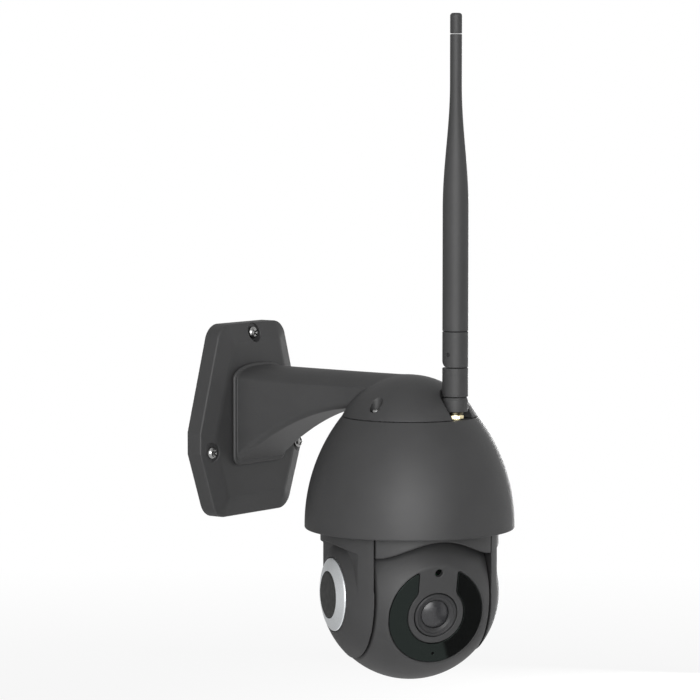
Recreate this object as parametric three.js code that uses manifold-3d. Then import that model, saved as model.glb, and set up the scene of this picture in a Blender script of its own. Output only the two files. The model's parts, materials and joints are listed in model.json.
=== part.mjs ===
// A wall-mounted pan-and-tilt security camera with a folding antenna, in millimetres, +Z up.
// The origin is on the wall plate's back face. +Y points into the wall, the camera hangs in front of it
// towards -Y, and +X is to the right of someone who faces the wall.
// Turned and flat pieces are drawn about +Z and then laid over: frontwards() turns +Z to -Y and +Y to +Z,
// and sideways() turns +Z to +X.

import * as THREE from "three";
import { mergeVertices } from "three/addons/utils/BufferGeometryUtils.js";
import Module from "manifold-3d";

const wasm = await Module();
wasm.setup();

const { cos, sin, sqrt, PI } = Math;
const degrees = THREE.MathUtils.degToRad;

// ---- driving dimensions ----
const GAP = 0.3; // between pieces that touch

const PLATE_HALF_WIDTH = 42;
const PLATE_TOP = 59.5;
const PLATE_TOP_HALF = 25.6;
const PLATE_BOTTOM = -39.3;
const PLATE_BOTTOM_HALF = 29.4;
const PLATE_SIDE_TOP = 5.5;
const PLATE_SIDE_BOTTOM = -5.7;
const PLATE_CORNER = 10;
const PLATE_WALL = 8.7; // depth of the side wall
const PLATE_CHAMFER = 9.5; // width of the sloping band
const PLATE_DEPTH = 12;
const WALL_SCREWS = {
  top: { x: 0, y: 54.3, floor: 8.2 },
  left: { x: -35.6, y: -4.9, floor: 10.1 },
  right: { x: 35.6, y: -4.9, floor: 10.1 },
};
const SPOTFACE_RADIUS = 4.8;
const WALL_SCREW = { head: 3, height: 2.5, shank: 1.9, hole: 2.2 };
const WALL_SCREW_TIP = 4.5; // how far each wall screw reaches past the wall face
const ARM_SCREWS = [
  [-13.5, 27],
  [13.5, 27],
  [-13.5, -1],
  [13.5, -1],
];
const ARM_SCREW = { head: 3.4, height: 2.4, shank: 1.7, length: 15, hole: 2, bore: 3.9, seat: 6 };
const ARM_SCREW_HOLE_END = 21;
const INLET = { x: 0, z: 16, radius: 8, flange: 10.3, recess: 2.6, bore: 4.6 };

const ARM_START = PLATE_DEPTH + GAP;
const ARM_ROOT_HALF = 19.8;
const ARM_END_HALF = 15;
const ARM_CREST = [37.7, 37.5]; // height of its top at the plate and at the dome's axis
const ARM_SHOULDER = 31; // height at which the flat sides end and the arched top begins
const BOXY = 2.6; // squareness of its top at the plate
const ARM_HEEL = 3; // rounding of the two lower edges
const ARM_WALL = 3;
const ARM_JOIN = 80; // depth at which the arm meets the cap
const ARM_UNDERSIDE = new THREE.QuadraticBezierCurve(
  new THREE.Vector2(ARM_START, -12.3),
  new THREE.Vector2(46, 16.6),
  new THREE.Vector2(ARM_JOIN, 20),
);
const LIP = { half: 21.4, shoulder: 31.5, top: 39.2, bottom: -12.9, heel: 5, thick: 2.2 };

const DOME_Y = -108.9;
const DOME_RADIUS = 52.4;
const DOME_ARC = 87.5; // radius of the dome's side, tangent to vertical at DOME_WAIST
const DOME_WAIST = -37;
const DOME_TOP = 16.9;
const DOME_RIM = -38.7;
const DOME_WALL = 2.6;
const CAP_SEAM = DOME_TOP + GAP;
const CAP_SPHERE = 37.9;
const CAP_CENTRE = -0.3;
const CAP_WALL = 2.8;
const CAP_SCREW_RADIUS = 28; // distance of the two cap screws from the dome's axis
const CAP_POCKET = { radius: 3.2, floor: 19.6 };
const CAP_SCREW = { head: 2.6, height: 2, shank: 1.2, length: 9, hole: 1.6, thread: 1.5, post: 5.4 };
const GASKET = { inner: 15.4, outer: 17.4, depth: 1 };

const ANTENNA_REACH = 27.5; // in front of the dome's axis
const ANTENNA_POCKET = { radius: 9.4, reach: 30 }; // open towards the front
const NUT_RADIUS = 4.4;
const NUT_GROOVE = [19, 19.3];
const ANTENNA_RADIUS = 6.36;
const ANTENNA_TIP_RADIUS = 2.92;
const JACK_RADIUS = 3;
const COLLAR_BOTTOM = 20.9;
const SWIVEL_BOTTOM = 28.2;
const SWIVEL_TOP = 42.5;
const HINGE_Z = 49;
const KNUCKLE_TOP = 60.3;
const TAPER_START = 120.5;
const TAPER_LENGTH = 61;
const TIP_BOTTOM = 206;
const TIP_TOP = 216;
const TONGUE_HALF = 2.1;
const TONGUE_RADIUS = 3.2;
const PIN_RADIUS = 1.1;

const BALL_Z = -70.46; // height of the tilt axis
const PAN_REST = -33;
const TILT_REST = 11.5; // below level
const YOKE_RADIUS = 44.5;
const YOKE_BULGE = 44.7; // radius of the round lower half of the yoke's arms
const BALL_RADIUS = 44.3;
const ARM_INNER = 30.8; // inner plane of each yoke arm, from the middle
const NECK_HALF = 30.3; // half the neck's width between the two arms
const BALL_HALF = 29.8; // half the ball's width
const SHELL_WALL = 2.2;
const EAR_FLAT = 37; // flat cut on each arm above the hub
const ARCH_TOP = 26.6;
const ARCH_RADIUS = 80;
const VISOR_MIDDLE = 25.5;
const VISOR_WAVE = 4.2;
const VISOR_EDGE = 21.3;
const NECK_DISC = [46, 48.4];
const HUB_RADIUS = 11;
const HUB_TOP = 64;
const YOKE_SCREW_X = 36.5;
const YOKE_SCREW = { head: 2.5, height: 1.5, shank: 1.2, length: 9, hole: 1.5, seat: 1.2 };
const RING_OUTER = 18.1;
const RING_INNER = 11.7;
const SEAT_DEPTH = 38.6;
const AXLE_RADIUS = 7.7;
const AXLE_END = 5.7; // radius where the fixed gear sits

const BASE_INNER = 44.8;
const BASE_OUTER = 45.7;
const BASE_PLATE = [-20, -17.5];
const BASE_BORE = 14;
const CABLE_BORE = 6; // cable way through the dome's roof and down the hub
const MOTOR_EARS = { x: 15.5, y: 28.5, half: 19, screw: 1.4 };
const BASE_SCREW_RADIUS = 47.9;
const BASE_SCREW = { head: 1.4, height: 1, shank: 0.75, length: 8, hole: 1.1 };
const THIRDS = [30, 150, 270].map(degrees);
const PAN_MODULE = 1;
const PAN_TEETH = 36;
const TILT_MODULE = 1;
const TILT_TEETH = 28;
const PINION_TEETH = 10;
const PAN_GEAR_Z = [-13.9, -9.9];
const PAN_CENTRES = (PAN_MODULE * (PAN_TEETH + PINION_TEETH)) / 2;
const TILT_CENTRES = (TILT_MODULE * (TILT_TEETH + PINION_TEETH)) / 2;
const TILT_GEAR_X = [20.2, 23.6];
const BOARD = { radius: 34, half: 31, bottom: 5.4, top: 7, posts: 25 };
const BOARD_POSTS = [90, 210, 330].map(degrees);

const FACE = 36.3; // distance of the flat face from the ball's centre
const FACE_WALL = 2.8;
const WINDOW = { inner: 14.8, outer: 24.3, thick: 0.85 };
const TAB_HALF = 10.2;
const LENS_HOLE = 11.3;
const LENS_GLASS = { radius: 7.5, bottom: 33.5, crown: 36.7, curvature: 12 };
const LAMP_CIRCLE = 19.8;
const LAMP_ANGLES = [8, -42, 172, 222].map(degrees);
const SENSOR_HEIGHT = 21.7;
const MIC_HEIGHT = -19.9;
const BALL_SEAM = -10;

// ---- materials ----
function plain(color, roughness, metalness = 0) {
  return () => new THREE.MeshStandardMaterial({ color, roughness, metalness });
}
const housing = plain(0x43454a, 0.5);
const whipPlastic = plain(0x3a3b3e, 0.6);
const screwSteel = plain(0xb9bbbd, 0.25, 1);
const brass = plain(0xc9b27a, 0.3, 1);
const silver = plain(0xc4c8cc, 0.35, 0.6);
const darkPlastic = plain(0x1d1e20, 0.45);
const windowGlass = plain(0x0b0d0e, 0.08);
const lensGlass = plain(0x11161c, 0.04);
const rubber = plain(0x161617, 0.8);
const circuit = plain(0x1d4a2c, 0.5);
const zinc = plain(0x9a9ca0, 0.35, 0.9);
const acetal = plain(0xe4e2da, 0.45);
const lampResin = plain(0x4c4a58, 0.12);

// ---- solids ----
function solidOf(geometry) {
  geometry.deleteAttribute("normal");
  geometry.deleteAttribute("uv");
  const merged = mergeVertices(geometry, 1e-4);
  const solid = new wasm.Manifold(
    new wasm.Mesh({
      numProp: 3,
      vertProperties: merged.attributes.position.array,
      triVerts: new Uint32Array(merged.index.array),
    }),
  );
  if (solid.volume() <= 0) throw new Error("a solid is inside out");
  return solid;
}

function geometryOf(solid) {
  const { vertProperties, triVerts } = solid.getMesh();
  const geometry = new THREE.BufferGeometry();
  geometry.setAttribute("position", new THREE.BufferAttribute(vertProperties, 3));
  geometry.setIndex(new THREE.BufferAttribute(triVerts, 1));
  const faceted = geometry.toNonIndexed();
  faceted.computeVertexNormals();
  return faceted;
}

const join = (first, ...rest) => rest.reduce((sum, next) => sum.add(next), first);
const cut = (first, ...rest) => rest.reduce((left, next) => left.subtract(next), first);
const common = (first, ...rest) => rest.reduce((both, next) => both.intersect(next), first);

const vectors = (pairs) => pairs.map(([x, y]) => new THREE.Vector2(x, y));

// A turned solid about +Z: the profile runs anticlockwise in the (radius, height) half-plane.
function turnedGeometry(profile, segments = 24) {
  return new THREE.LatheGeometry(vectors(profile), segments).rotateX(PI / 2);
}

const turned = (profile, segments) => solidOf(turnedGeometry(profile, segments));

function rodGeometry(radius, z0, z1, segments = 12, x = 0, y = 0) {
  return new THREE.CylinderGeometry(radius, radius, z1 - z0, segments)
    .rotateX(PI / 2)
    .translate(x, y, (z0 + z1) / 2);
}

const rod = (...sizes) => solidOf(rodGeometry(...sizes));

// A round rod along +X.
const sideRod = (radius, x0, x1, segments = 20) => solidOf(sideways(rodGeometry(radius, x0, x1, segments)));

function ring(inner, outer, z0, z1, segments = 24) {
  const square = [
    [inner, z0],
    [outer, z0],
    [outer, z1],
    [inner, z1],
    [inner, z0],
  ];
  return turned(square, segments);
}

function block([x0, x1], [y0, y1], [z0, z1]) {
  const box = new THREE.BoxGeometry(x1 - x0, y1 - y0, z1 - z0);
  return solidOf(box.translate((x0 + x1) / 2, (y0 + y1) / 2, (z0 + z1) / 2));
}

function slabGeometry(shape, z0, z1, curveSegments = 6) {
  const options = { depth: z1 - z0, bevelEnabled: false, curveSegments };
  return new THREE.ExtrudeGeometry(shape, options).translate(0, 0, z0);
}

const slab = (...sizes) => solidOf(slabGeometry(...sizes));
const frontwards = (geometry) => geometry.rotateX(PI / 2);
const sideways = (geometry) => geometry.rotateY(PI / 2);

// Points of an arc about (x, y), from one angle to another.
function arc(x, y, radius, from, to, steps) {
  return Array.from({ length: steps + 1 }, (_, i) => {
    const angle = from + ((to - from) * i) / steps;
    return [x + radius * cos(angle), y + radius * sin(angle)];
  });
}

// An anticlockwise outline whose corners [x, y, radius] are rounded by arcs.
function outline(corners, steps = 4) {
  const points = corners.flatMap(([x, y, radius], i) => {
    if (!radius) return [[x, y]];
    const corner = new THREE.Vector2(x, y);
    const [before, after] = [corners.at(i - 1), corners[(i + 1) % corners.length]].map(([ox, oy]) =>
      new THREE.Vector2(ox - x, oy - y).normalize(),
    );
    const half = Math.acos(before.dot(after)) / 2;
    const centre = before.clone().add(after).normalize().multiplyScalar(radius / sin(half)).add(corner);
    const start = before.clone().multiplyScalar(radius / Math.tan(half)).add(corner).sub(centre).angle();
    return arc(centre.x, centre.y, radius, start, start + PI - 2 * half, steps);
  });
  return new THREE.Shape(vectors(points));
}

const roundedRect = (half, bottom, top, heel, shoulder, steps) =>
  outline(
    [
      [-half, bottom, heel],
      [half, bottom, heel],
      [half, top, shoulder],
      [-half, top, shoulder],
    ],
    steps,
  );

// A closed skin over sections [{ z, shape }] that have as many points each.
function loft(sections) {
  const rings = sections.map(({ z, shape }) => shape.getPoints().map((p) => [p.x, p.y, z]));
  const count = rings[0].length;
  const positions = rings.flat(2);
  const indices = [];
  for (let level = 0; level < rings.length - 1; level++) {
    for (let i = 0; i < count; i++) {
      const a = level * count + i;
      const b = level * count + ((i + 1) % count);
      indices.push(a, b, b + count, a, b + count, a + count);
    }
  }
  const faces = THREE.ShapeUtils.triangulateShape(sections[0].shape.getPoints(), []);
  const last = (rings.length - 1) * count;
  for (const [a, b, c] of faces) indices.push(c, b, a, last + a, last + b, last + c);
  const geometry = new THREE.BufferGeometry();
  geometry.setAttribute("position", new THREE.Float32BufferAttribute(positions, 3));
  geometry.setIndex(indices);
  return geometry;
}

// A gear outline with one tooth centred on the angle `phase`.
function gearOutline(teeth, module, phase) {
  const pitch = (teeth * module) / 2;
  const step = (2 * PI) / teeth;
  const flank = [
    [-0.29, -1.1],
    [-0.12, 0.8],
    [0.12, 0.8],
    [0.29, -1.1],
  ];
  const points = Array.from({ length: teeth }, (_, tooth) =>
    flank.map(([across, out]) => {
      const angle = phase + (tooth + across) * step;
      const radius = pitch + out * module;
      return [radius * cos(angle), radius * sin(angle)];
    }),
  );
  return new THREE.Shape(vectors(points.flat()));
}

// ---- scene ----
const camera = new THREE.Group();

function piece(parent, name, shape, material, [x, y, z] = [0, 0, 0]) {
  const geometry = shape.isBufferGeometry ? shape : geometryOf(shape);
  const mesh = new THREE.Mesh(geometry, material());
  mesh.name = name;
  mesh.position.set(x, y, z);
  parent.add(mesh);
  return mesh;
}

function frame(parent, [x, y, z], [rx, ry, rz] = [0, 0, 0]) {
  const group = new THREE.Group();
  group.position.set(x, y, z);
  group.rotation.set(rx, ry, rz);
  parent.add(group);
  return group;
}

// A pan-head screw whose head's underside is at z = 0 and whose shank runs down to -length.
function screwGeometry({ head, height, shank, length }) {
  const point = shank * 0.6;
  const profile = [
    [0, -length],
    [point, -length],
    [shank, -length + point],
    [shank, 0],
    [head, 0],
    [head, height * 0.35],
    [head * 0.7, height * 0.9],
    [0, height],
  ];
  return turnedGeometry(profile, 12);
}

// ---- wall plate, drawn with +Y up and +Z out of the wall ----
const wall = frame(camera, [0, 0, 0], [PI / 2, 0, 0]);

function wallPlate() {
  const edge = outline([
    [-PLATE_HALF_WIDTH, PLATE_SIDE_BOTTOM],
    [-PLATE_BOTTOM_HALF, PLATE_BOTTOM, PLATE_CORNER],
    [PLATE_BOTTOM_HALF, PLATE_BOTTOM, PLATE_CORNER],
    [PLATE_HALF_WIDTH, PLATE_SIDE_BOTTOM],
    [PLATE_HALF_WIDTH, PLATE_SIDE_TOP],
    [PLATE_TOP_HALF, PLATE_TOP, PLATE_CORNER],
    [-PLATE_TOP_HALF, PLATE_TOP, PLATE_CORNER],
    [-PLATE_HALF_WIDTH, PLATE_SIDE_TOP],
  ]);
  const body = new THREE.ExtrudeGeometry(edge, {
    depth: PLATE_WALL,
    bevelThickness: PLATE_DEPTH - PLATE_WALL,
    bevelSize: PLATE_CHAMFER,
    bevelOffset: -PLATE_CHAMFER,
    bevelSegments: 1,
  });
  const behind = block([-60, 60], [-60, 80], [-20, 0]);
  const through = [-1, PLATE_DEPTH + 1];
  const spotfaces = Object.values(WALL_SCREWS).flatMap(({ x, y, floor }) => [
    rod(SPOTFACE_RADIUS, floor, PLATE_DEPTH + 1, 16, x, y),
    rod(WALL_SCREW.hole, ...through, 8, x, y),
  ]);
  const counterbores = ARM_SCREWS.flatMap(([x, y]) => [
    rod(ARM_SCREW.bore, -1, ARM_SCREW.seat, 12, x, y),
    rod(ARM_SCREW.hole, ...through, 8, x, y),
  ]);
  const inlet = [
    rod(INLET.flange, -1, INLET.recess, 20, INLET.x, INLET.z),
    rod(INLET.radius, ...through, 20, INLET.x, INLET.z),
  ];
  return cut(solidOf(body), behind, ...spotfaces, ...counterbores, ...inlet);
}
piece(wall, "wall_plate", wallPlate(), housing);

for (const [place, { x, y, floor }] of Object.entries(WALL_SCREWS)) {
  const seat = floor + GAP;
  const screw = screwGeometry({ ...WALL_SCREW, length: seat + WALL_SCREW_TIP });
  piece(wall, `wall_screw_${place}`, screw, screwSteel, [x, y, seat]);
}

ARM_SCREWS.forEach(([x, y], i) => {
  const place = [x, y, ARM_SCREW.seat - GAP];
  piece(wall, `arm_screw_${i + 1}`, screwGeometry(ARM_SCREW), screwSteel, place).rotation.y = PI;
});

function inletGrommet() {
  const end = PLATE_DEPTH - 3;
  const profile = [
    [INLET.bore, GAP],
    [INLET.flange - GAP, GAP],
    [INLET.flange - GAP, INLET.recess - GAP],
    [INLET.radius - GAP, INLET.recess - GAP],
    [INLET.radius - GAP, end],
    [INLET.bore, end],
    [INLET.bore, GAP],
  ];
  return turnedGeometry(profile, 16);
}
piece(wall, "cable_inlet_grommet", inletGrommet(), rubber, [INLET.x, INLET.z, 0]);

// ---- support arm and cap, one casting ----
const armHalf = (depth) =>
  THREE.MathUtils.mapLinear(Math.min(depth, ARM_JOIN), ARM_START, ARM_JOIN, ARM_ROOT_HALF, ARM_END_HALF);

// Points from +half to -half along the curve (x / half) ^ squareness + (z / rise) ^ (1 / roundness) = 1.
function archPoints(half, shoulder, rise, squareness, roundness) {
  return Array.from({ length: 9 }, (_, i) => {
    const across = cos((PI * i) / 8);
    return [half * across, shoulder + rise * (1 - Math.abs(across) ** squareness) ** roundness];
  });
}

// One section of the arm, drawn in by `inset`. Its top is boxy at the plate and a round arch at the cap.
function armSection(depth, bottom, inset) {
  const half = armHalf(depth) - inset;
  const along = (depth - ARM_START) / (-DOME_Y - ARM_START);
  const blend = Math.min(1, (depth - ARM_START) / (ARM_JOIN - ARM_START));
  const rise = THREE.MathUtils.lerp(...ARM_CREST, along) - ARM_SHOULDER - inset;
  const squareness = THREE.MathUtils.lerp(BOXY, 2.1, blend);
  const roundness = THREE.MathUtils.lerp(0.5, 1, blend);
  const arch = archPoints(half, ARM_SHOULDER, rise, squareness, roundness);
  const heel = ARM_HEEL - inset * 0.5;
  return outline([[-half, bottom + inset, heel], [half, bottom + inset, heel], ...arch], 3);
}

// The arm's sections from the plate to a depth inside the cap, each drawn in by `inset`.
function armBody(inset, start, end) {
  const steps = 6;
  const along = Array.from({ length: steps + 1 }, (_, i) => ARM_UNDERSIDE.getPoint(i / steps));
  const stations = [{ x: start, y: along[0].y }, ...along.slice(1), { x: end, y: along.at(-1).y }];
  const sections = stations.map(({ x: depth, y: bottom }) => ({
    z: depth,
    shape: armSection(Math.max(depth, ARM_START), bottom, inset),
  }));
  return solidOf(frontwards(loft(sections)));
}

const forwardRod = (radius, end, x, z) => solidOf(frontwards(rodGeometry(radius, 0, end, 8, x, z)));

// Part of the sphere that the cap is turned from, above the seam, about the dome's axis.
function capSolid(radius, bottom) {
  const start = Math.asin((bottom - CAP_CENTRE) / radius);
  const curve = arc(0, CAP_CENTRE, radius, start, PI / 2, 5);
  curve[curve.length - 1][0] = 0;
  return solidOf(turnedGeometry([[0, bottom], ...curve], 36).translate(0, DOME_Y, 0));
}

function supportArm() {
  const lipArch = archPoints(LIP.half, LIP.shoulder, LIP.top - LIP.shoulder, BOXY, 0.5);
  const lipEdge = outline([
    [-LIP.half, LIP.bottom, LIP.heel],
    [LIP.half, LIP.bottom, LIP.heel],
    ...lipArch,
  ]);
  const lip = solidOf(frontwards(slabGeometry(lipEdge, ARM_START, ARM_START + LIP.thick)));
  const dome = capSolid(CAP_SPHERE, CAP_SEAM);
  const outside = join(armBody(0, ARM_START, -DOME_Y), dome, lip);
  const sides = [-CAP_SCREW_RADIUS, CAP_SCREW_RADIUS];
  const screwPosts = sides.map((x) => rod(CAP_SCREW.post, CAP_SEAM - 1, 40, 10, x, DOME_Y));
  const pocketY = DOME_Y - ANTENNA_POCKET.reach;
  const antennaPost = rod(ANTENNA_POCKET.radius + 2, CAP_SEAM - 1, 40, 16, 0, pocketY);
  const inside = cut(
    join(armBody(ARM_WALL, ARM_START - 1, -DOME_Y - 1), capSolid(CAP_SPHERE - CAP_WALL, CAP_SEAM - 0.5)),
    ...screwPosts,
    antennaPost,
    ...ARM_SCREWS.map(([x, z]) => forwardRod(ARM_SCREW.bore - GAP, 30, x, z)),
  );
  const pockets = sides.flatMap((x) => [
    rod(CAP_POCKET.radius, CAP_POCKET.floor, 40, 16, x, DOME_Y),
    rod(CAP_SCREW.hole, CAP_SEAM - 1, 40, 8, x, DOME_Y),
  ]);
  const antennaPocket = rod(ANTENNA_POCKET.radius, CAP_SEAM - 1, 60, 24, 0, pocketY);
  const screwHoles = ARM_SCREWS.map(([x, z]) => forwardRod(ARM_SCREW.hole, ARM_SCREW_HOLE_END, x, z));
  return cut(outside, inside, ...pockets, antennaPocket, ...screwHoles);
}
piece(camera, "support_arm", supportArm(), housing);

// ---- dome, about its own axis ----
const dome = frame(camera, [0, DOME_Y, 0]);

// Radius of the dome's side at a height, drawn in by `inset`.
const domeRadius = (z, inset = 0) =>
  DOME_RADIUS - DOME_ARC + sqrt((DOME_ARC - inset) ** 2 - (z - DOME_WAIST) ** 2);

function domeSide(from, to, inset, steps) {
  return Array.from({ length: steps + 1 }, (_, i) => {
    const z = from + ((to - from) * i) / steps;
    return [domeRadius(z, inset), z];
  });
}

const baseScrewHoles = (z0, z1) =>
  THIRDS.map((a) => rod(BASE_SCREW.hole, z0, z1, 8, BASE_SCREW_RADIUS * cos(a), BASE_SCREW_RADIUS * sin(a)));

function domeShell() {
  const ceiling = DOME_TOP - DOME_WALL;
  const profile = [
    [0, ceiling],
    ...domeSide(ceiling, DOME_WAIST, DOME_WALL, 4),
    [domeRadius(DOME_WAIST, DOME_WALL), DOME_RIM],
    [DOME_RADIUS - 1.4, DOME_RIM],
    [DOME_RADIUS - 0.4, DOME_RIM + 0.5],
    ...domeSide(DOME_WAIST, DOME_TOP, 0, 6),
    [0, DOME_TOP],
  ];
  const screwPosts = [-CAP_SCREW_RADIUS, CAP_SCREW_RADIUS].map((x) => rod(3.2, 8, ceiling + 1, 8, x, 0));
  const boardPosts = BOARD_POSTS.map((a) =>
    rod(2.6, BOARD.top + GAP, ceiling + 1, 8, BOARD.posts * cos(a), BOARD.posts * sin(a)),
  );
  const basePosts = THIRDS.map((a) =>
    common(
      rod(1.9, -34.7, -24, 8, BASE_SCREW_RADIUS * cos(a), BASE_SCREW_RADIUS * sin(a)),
      turned([[0, -36], ...domeSide(-36, -20, 0.8, 2), [0, -20]], 40),
    ),
  );
  const shell = join(turned(profile, 40), ...screwPosts, ...boardPosts, ...basePosts);
  const holes = [
    rod(CABLE_BORE, 10, 20, 16, 0, CABLE_BORE),
    rod(JACK_RADIUS + GAP, 10, 20, 12, 0, -ANTENNA_REACH),
    ring(GASKET.inner - GAP, GASKET.outer + GAP, DOME_TOP - GASKET.depth, DOME_TOP + 1, 24),
    ...[-CAP_SCREW_RADIUS, CAP_SCREW_RADIUS].map((x) => rod(CAP_SCREW.thread, 9, 20, 8, x, 0)),
    ...BOARD_POSTS.map((a) => rod(1.2, 0, 13, 8, BOARD.posts * cos(a), BOARD.posts * sin(a))),
    ...baseScrewHoles(-36, -27),
  ];
  return cut(shell, ...holes);
}
piece(dome, "dome_shell", domeShell(), housing);
const gasket = ring(GASKET.inner, GASKET.outer, DOME_TOP - GASKET.depth + GAP, DOME_TOP, 24);
piece(dome, "cap_gasket", gasket, rubber);

for (const [side, x] of [["left", -CAP_SCREW_RADIUS], ["right", CAP_SCREW_RADIUS]]) {
  piece(dome, `cap_screw_${side}`, screwGeometry(CAP_SCREW), screwSteel, [x, 0, CAP_POCKET.floor + GAP]);
}

function mainBoard() {
  const flat = block([-40, 40], [-BOARD.half, BOARD.half], [BOARD.bottom - 1, BOARD.top + 1]);
  const disc = common(rod(BOARD.radius, BOARD.bottom, BOARD.top, 28), flat);
  const chips = [block([-9, 5], [-12, 2], [BOARD.bottom, 8.4]), block([10, 18], [-4, 8], [BOARD.bottom, 8])];
  const holes = BOARD_POSTS.map((a) => rod(1.3, 0, 9, 8, BOARD.posts * cos(a), BOARD.posts * sin(a)));
  return cut(join(disc, ...chips), ...holes);
}
piece(dome, "main_board", mainBoard(), circuit);

function panBase() {
  const [bottom, top] = BASE_PLATE;
  const skirt = { outer: BASE_INNER + 0.8, end: DOME_RIM - 0.9 };
  const ledge = { outer: domeRadius(DOME_WAIST, DOME_WALL) - GAP, top: DOME_WAIST + 2 };
  const profile = [
    [BASE_BORE, bottom],
    [BASE_INNER, bottom],
    [BASE_INNER, skirt.end],
    [skirt.outer, skirt.end],
    [skirt.outer, DOME_WAIST],
    [ledge.outer, DOME_WAIST],
    [ledge.outer, ledge.top],
    [BASE_OUTER, ledge.top],
    [BASE_OUTER, top],
    [BASE_BORE, top],
    [BASE_BORE, bottom],
  ];
  const posts = [-MOTOR_EARS.x, MOTOR_EARS.x].map((x) => rod(2.4, top - 1, -9.6, 8, x, MOTOR_EARS.y));
  return cut(join(turned(profile, 40), ...posts), ...baseScrewHoles(-40, -30));
}
piece(dome, "pan_base", panBase(), darkPlastic);

THIRDS.forEach((a, i) => {
  const place = [BASE_SCREW_RADIUS * cos(a), BASE_SCREW_RADIUS * sin(a), DOME_WAIST - GAP];
  piece(dome, `base_screw_${i + 1}`, screwGeometry(BASE_SCREW), screwSteel, place).rotation.x = PI;
});

const panBearing = ring(HUB_RADIUS + GAP, BASE_BORE - GAP, BASE_PLATE[0] + GAP, PAN_GEAR_Z[0] - 0.5);
piece(dome, "pan_bearing", panBearing, zinc);

function panMotor() {
  const can = rod(11, -7.7, 3, 20, 0, PAN_CENTRES + 4);
  const { x: across, y, half, screw } = MOTOR_EARS;
  const ears = slab(roundedRect(half, y - 3.5, y + 3.5, 3, 3, 4), -9.3, -7.5);
  const earHoles = [-across, across].map((x) => rod(screw, -12, 0, 8, x, y));
  return cut(join(can, ears), ...earHoles);
}
piece(dome, "pan_motor", panMotor(), zinc);

// The big gear has a gap at +Y, where the pinion has a tooth.
function panPinion() {
  const teeth = slab(gearOutline(PINION_TEETH, PAN_MODULE, -PI / 2), ...PAN_GEAR_Z);
  return join(teeth, rod(1.5, PAN_GEAR_Z[1] - 0.5, -8, 10));
}
piece(dome, "pan_pinion", panPinion(), acetal, [0, PAN_CENTRES, 0]);

// ---- antenna, about its own upright axis ----
const antenna = frame(camera, [0, DOME_Y - ANTENNA_REACH, 0]);

function antennaJack() {
  const flange = rod(5, 11, DOME_TOP - DOME_WALL - GAP, 6);
  return join(flange, rod(JACK_RADIUS, 7.5, 20.2, 12));
}
piece(antenna, "antenna_jack", antennaJack(), brass);

const antennaNut = cut(
  rod(NUT_RADIUS, DOME_TOP + 0.4, COLLAR_BOTTOM - GAP, 6),
  rod(JACK_RADIUS + GAP, 15, 22, 12),
  ring(JACK_RADIUS + 0.7, NUT_RADIUS + 1, ...NUT_GROOVE),
);
piece(antenna, "antenna_nut", antennaNut, brass);

const collarProfile = [
  [0, COLLAR_BOTTOM],
  [ANTENNA_RADIUS - 1.1, COLLAR_BOTTOM],
  [ANTENNA_RADIUS - 0.2, COLLAR_BOTTOM + 1.3],
  [ANTENNA_RADIUS, SWIVEL_BOTTOM - GAP - 0.6],
  [ANTENNA_RADIUS - 0.5, SWIVEL_BOTTOM - GAP],
  [0, SWIVEL_BOTTOM - GAP],
];
piece(antenna, "antenna_collar", turnedGeometry(collarProfile, 20), whipPlastic);

function antennaSwivel() {
  const body = turned(
    [
      [0, SWIVEL_BOTTOM],
      [ANTENNA_RADIUS - 0.5, SWIVEL_BOTTOM],
      [ANTENNA_RADIUS, SWIVEL_BOTTOM + 0.6],
      [ANTENNA_RADIUS, SWIVEL_TOP - 0.4],
      [ANTENNA_RADIUS - 0.4, SWIVEL_TOP],
      [0, SWIVEL_TOP],
    ],
    20,
  );
  const half = [-TONGUE_HALF, TONGUE_HALF];
  const tongue = block(half, [-TONGUE_RADIUS, TONGUE_RADIUS], [SWIVEL_TOP - 1, HINGE_Z]);
  const eye = sideRod(TONGUE_RADIUS, ...half, 12).translate([0, 0, HINGE_Z]);
  const hole = sideRod(PIN_RADIUS + GAP, -9, 9, 8).translate([0, 0, HINGE_Z]);
  return cut(join(body, tongue, eye), hole);
}
piece(antenna, "antenna_swivel", antennaSwivel(), whipPlastic);

piece(antenna, "antenna_pin", sideways(rodGeometry(PIN_RADIUS, -5.8, 5.8, 8)), zinc, [0, 0, HINGE_Z]);

// The knuckle's lower edge on the wall side is rounded about the pin, so that it folds that way.
function antennaKnuckle() {
  const bottom = SWIVEL_TOP + GAP;
  const body = turned(
    [
      [0, bottom],
      [ANTENNA_RADIUS, bottom],
      [ANTENNA_RADIUS, KNUCKLE_TOP],
      [0, KNUCKLE_TOP],
    ],
    20,
  );
  const wide = [-9, 9];
  const swing = HINGE_Z - bottom;
  const corner = cut(
    block(wide, [0, 9], [bottom - 1, HINGE_Z]),
    sideRod(swing, -10, 10, 24).translate([0, 0, HINGE_Z]),
  );
  const slotHalf = [-TONGUE_HALF - GAP, TONGUE_HALF + GAP];
  const slot = block(slotHalf, [-TONGUE_RADIUS - 0.4, 9], [bottom - 1, HINGE_Z + TONGUE_RADIUS + 0.4]);
  const hole = sideRod(PIN_RADIUS + GAP, ...wide, 8).translate([0, 0, HINGE_Z]);
  return cut(body, corner, slot, hole);
}
piece(antenna, "antenna_knuckle", antennaKnuckle(), whipPlastic);

function antennaWhip() {
  const swing = (ANTENNA_RADIUS - ANTENNA_TIP_RADIUS) / 2;
  const taper = Array.from({ length: 8 }, (_, i) => [
    ANTENNA_TIP_RADIUS + swing * (1 + cos((PI * i) / 7)),
    TAPER_START + (TAPER_LENGTH * i) / 7,
  ]);
  const profile = [
    [0, KNUCKLE_TOP + GAP],
    [ANTENNA_RADIUS, KNUCKLE_TOP + GAP],
    ...taper,
    [ANTENNA_TIP_RADIUS, TIP_BOTTOM - GAP],
    [0, TIP_BOTTOM - GAP],
  ];
  return turnedGeometry(profile, 16);
}
piece(antenna, "antenna_whip", antennaWhip(), whipPlastic);

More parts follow.
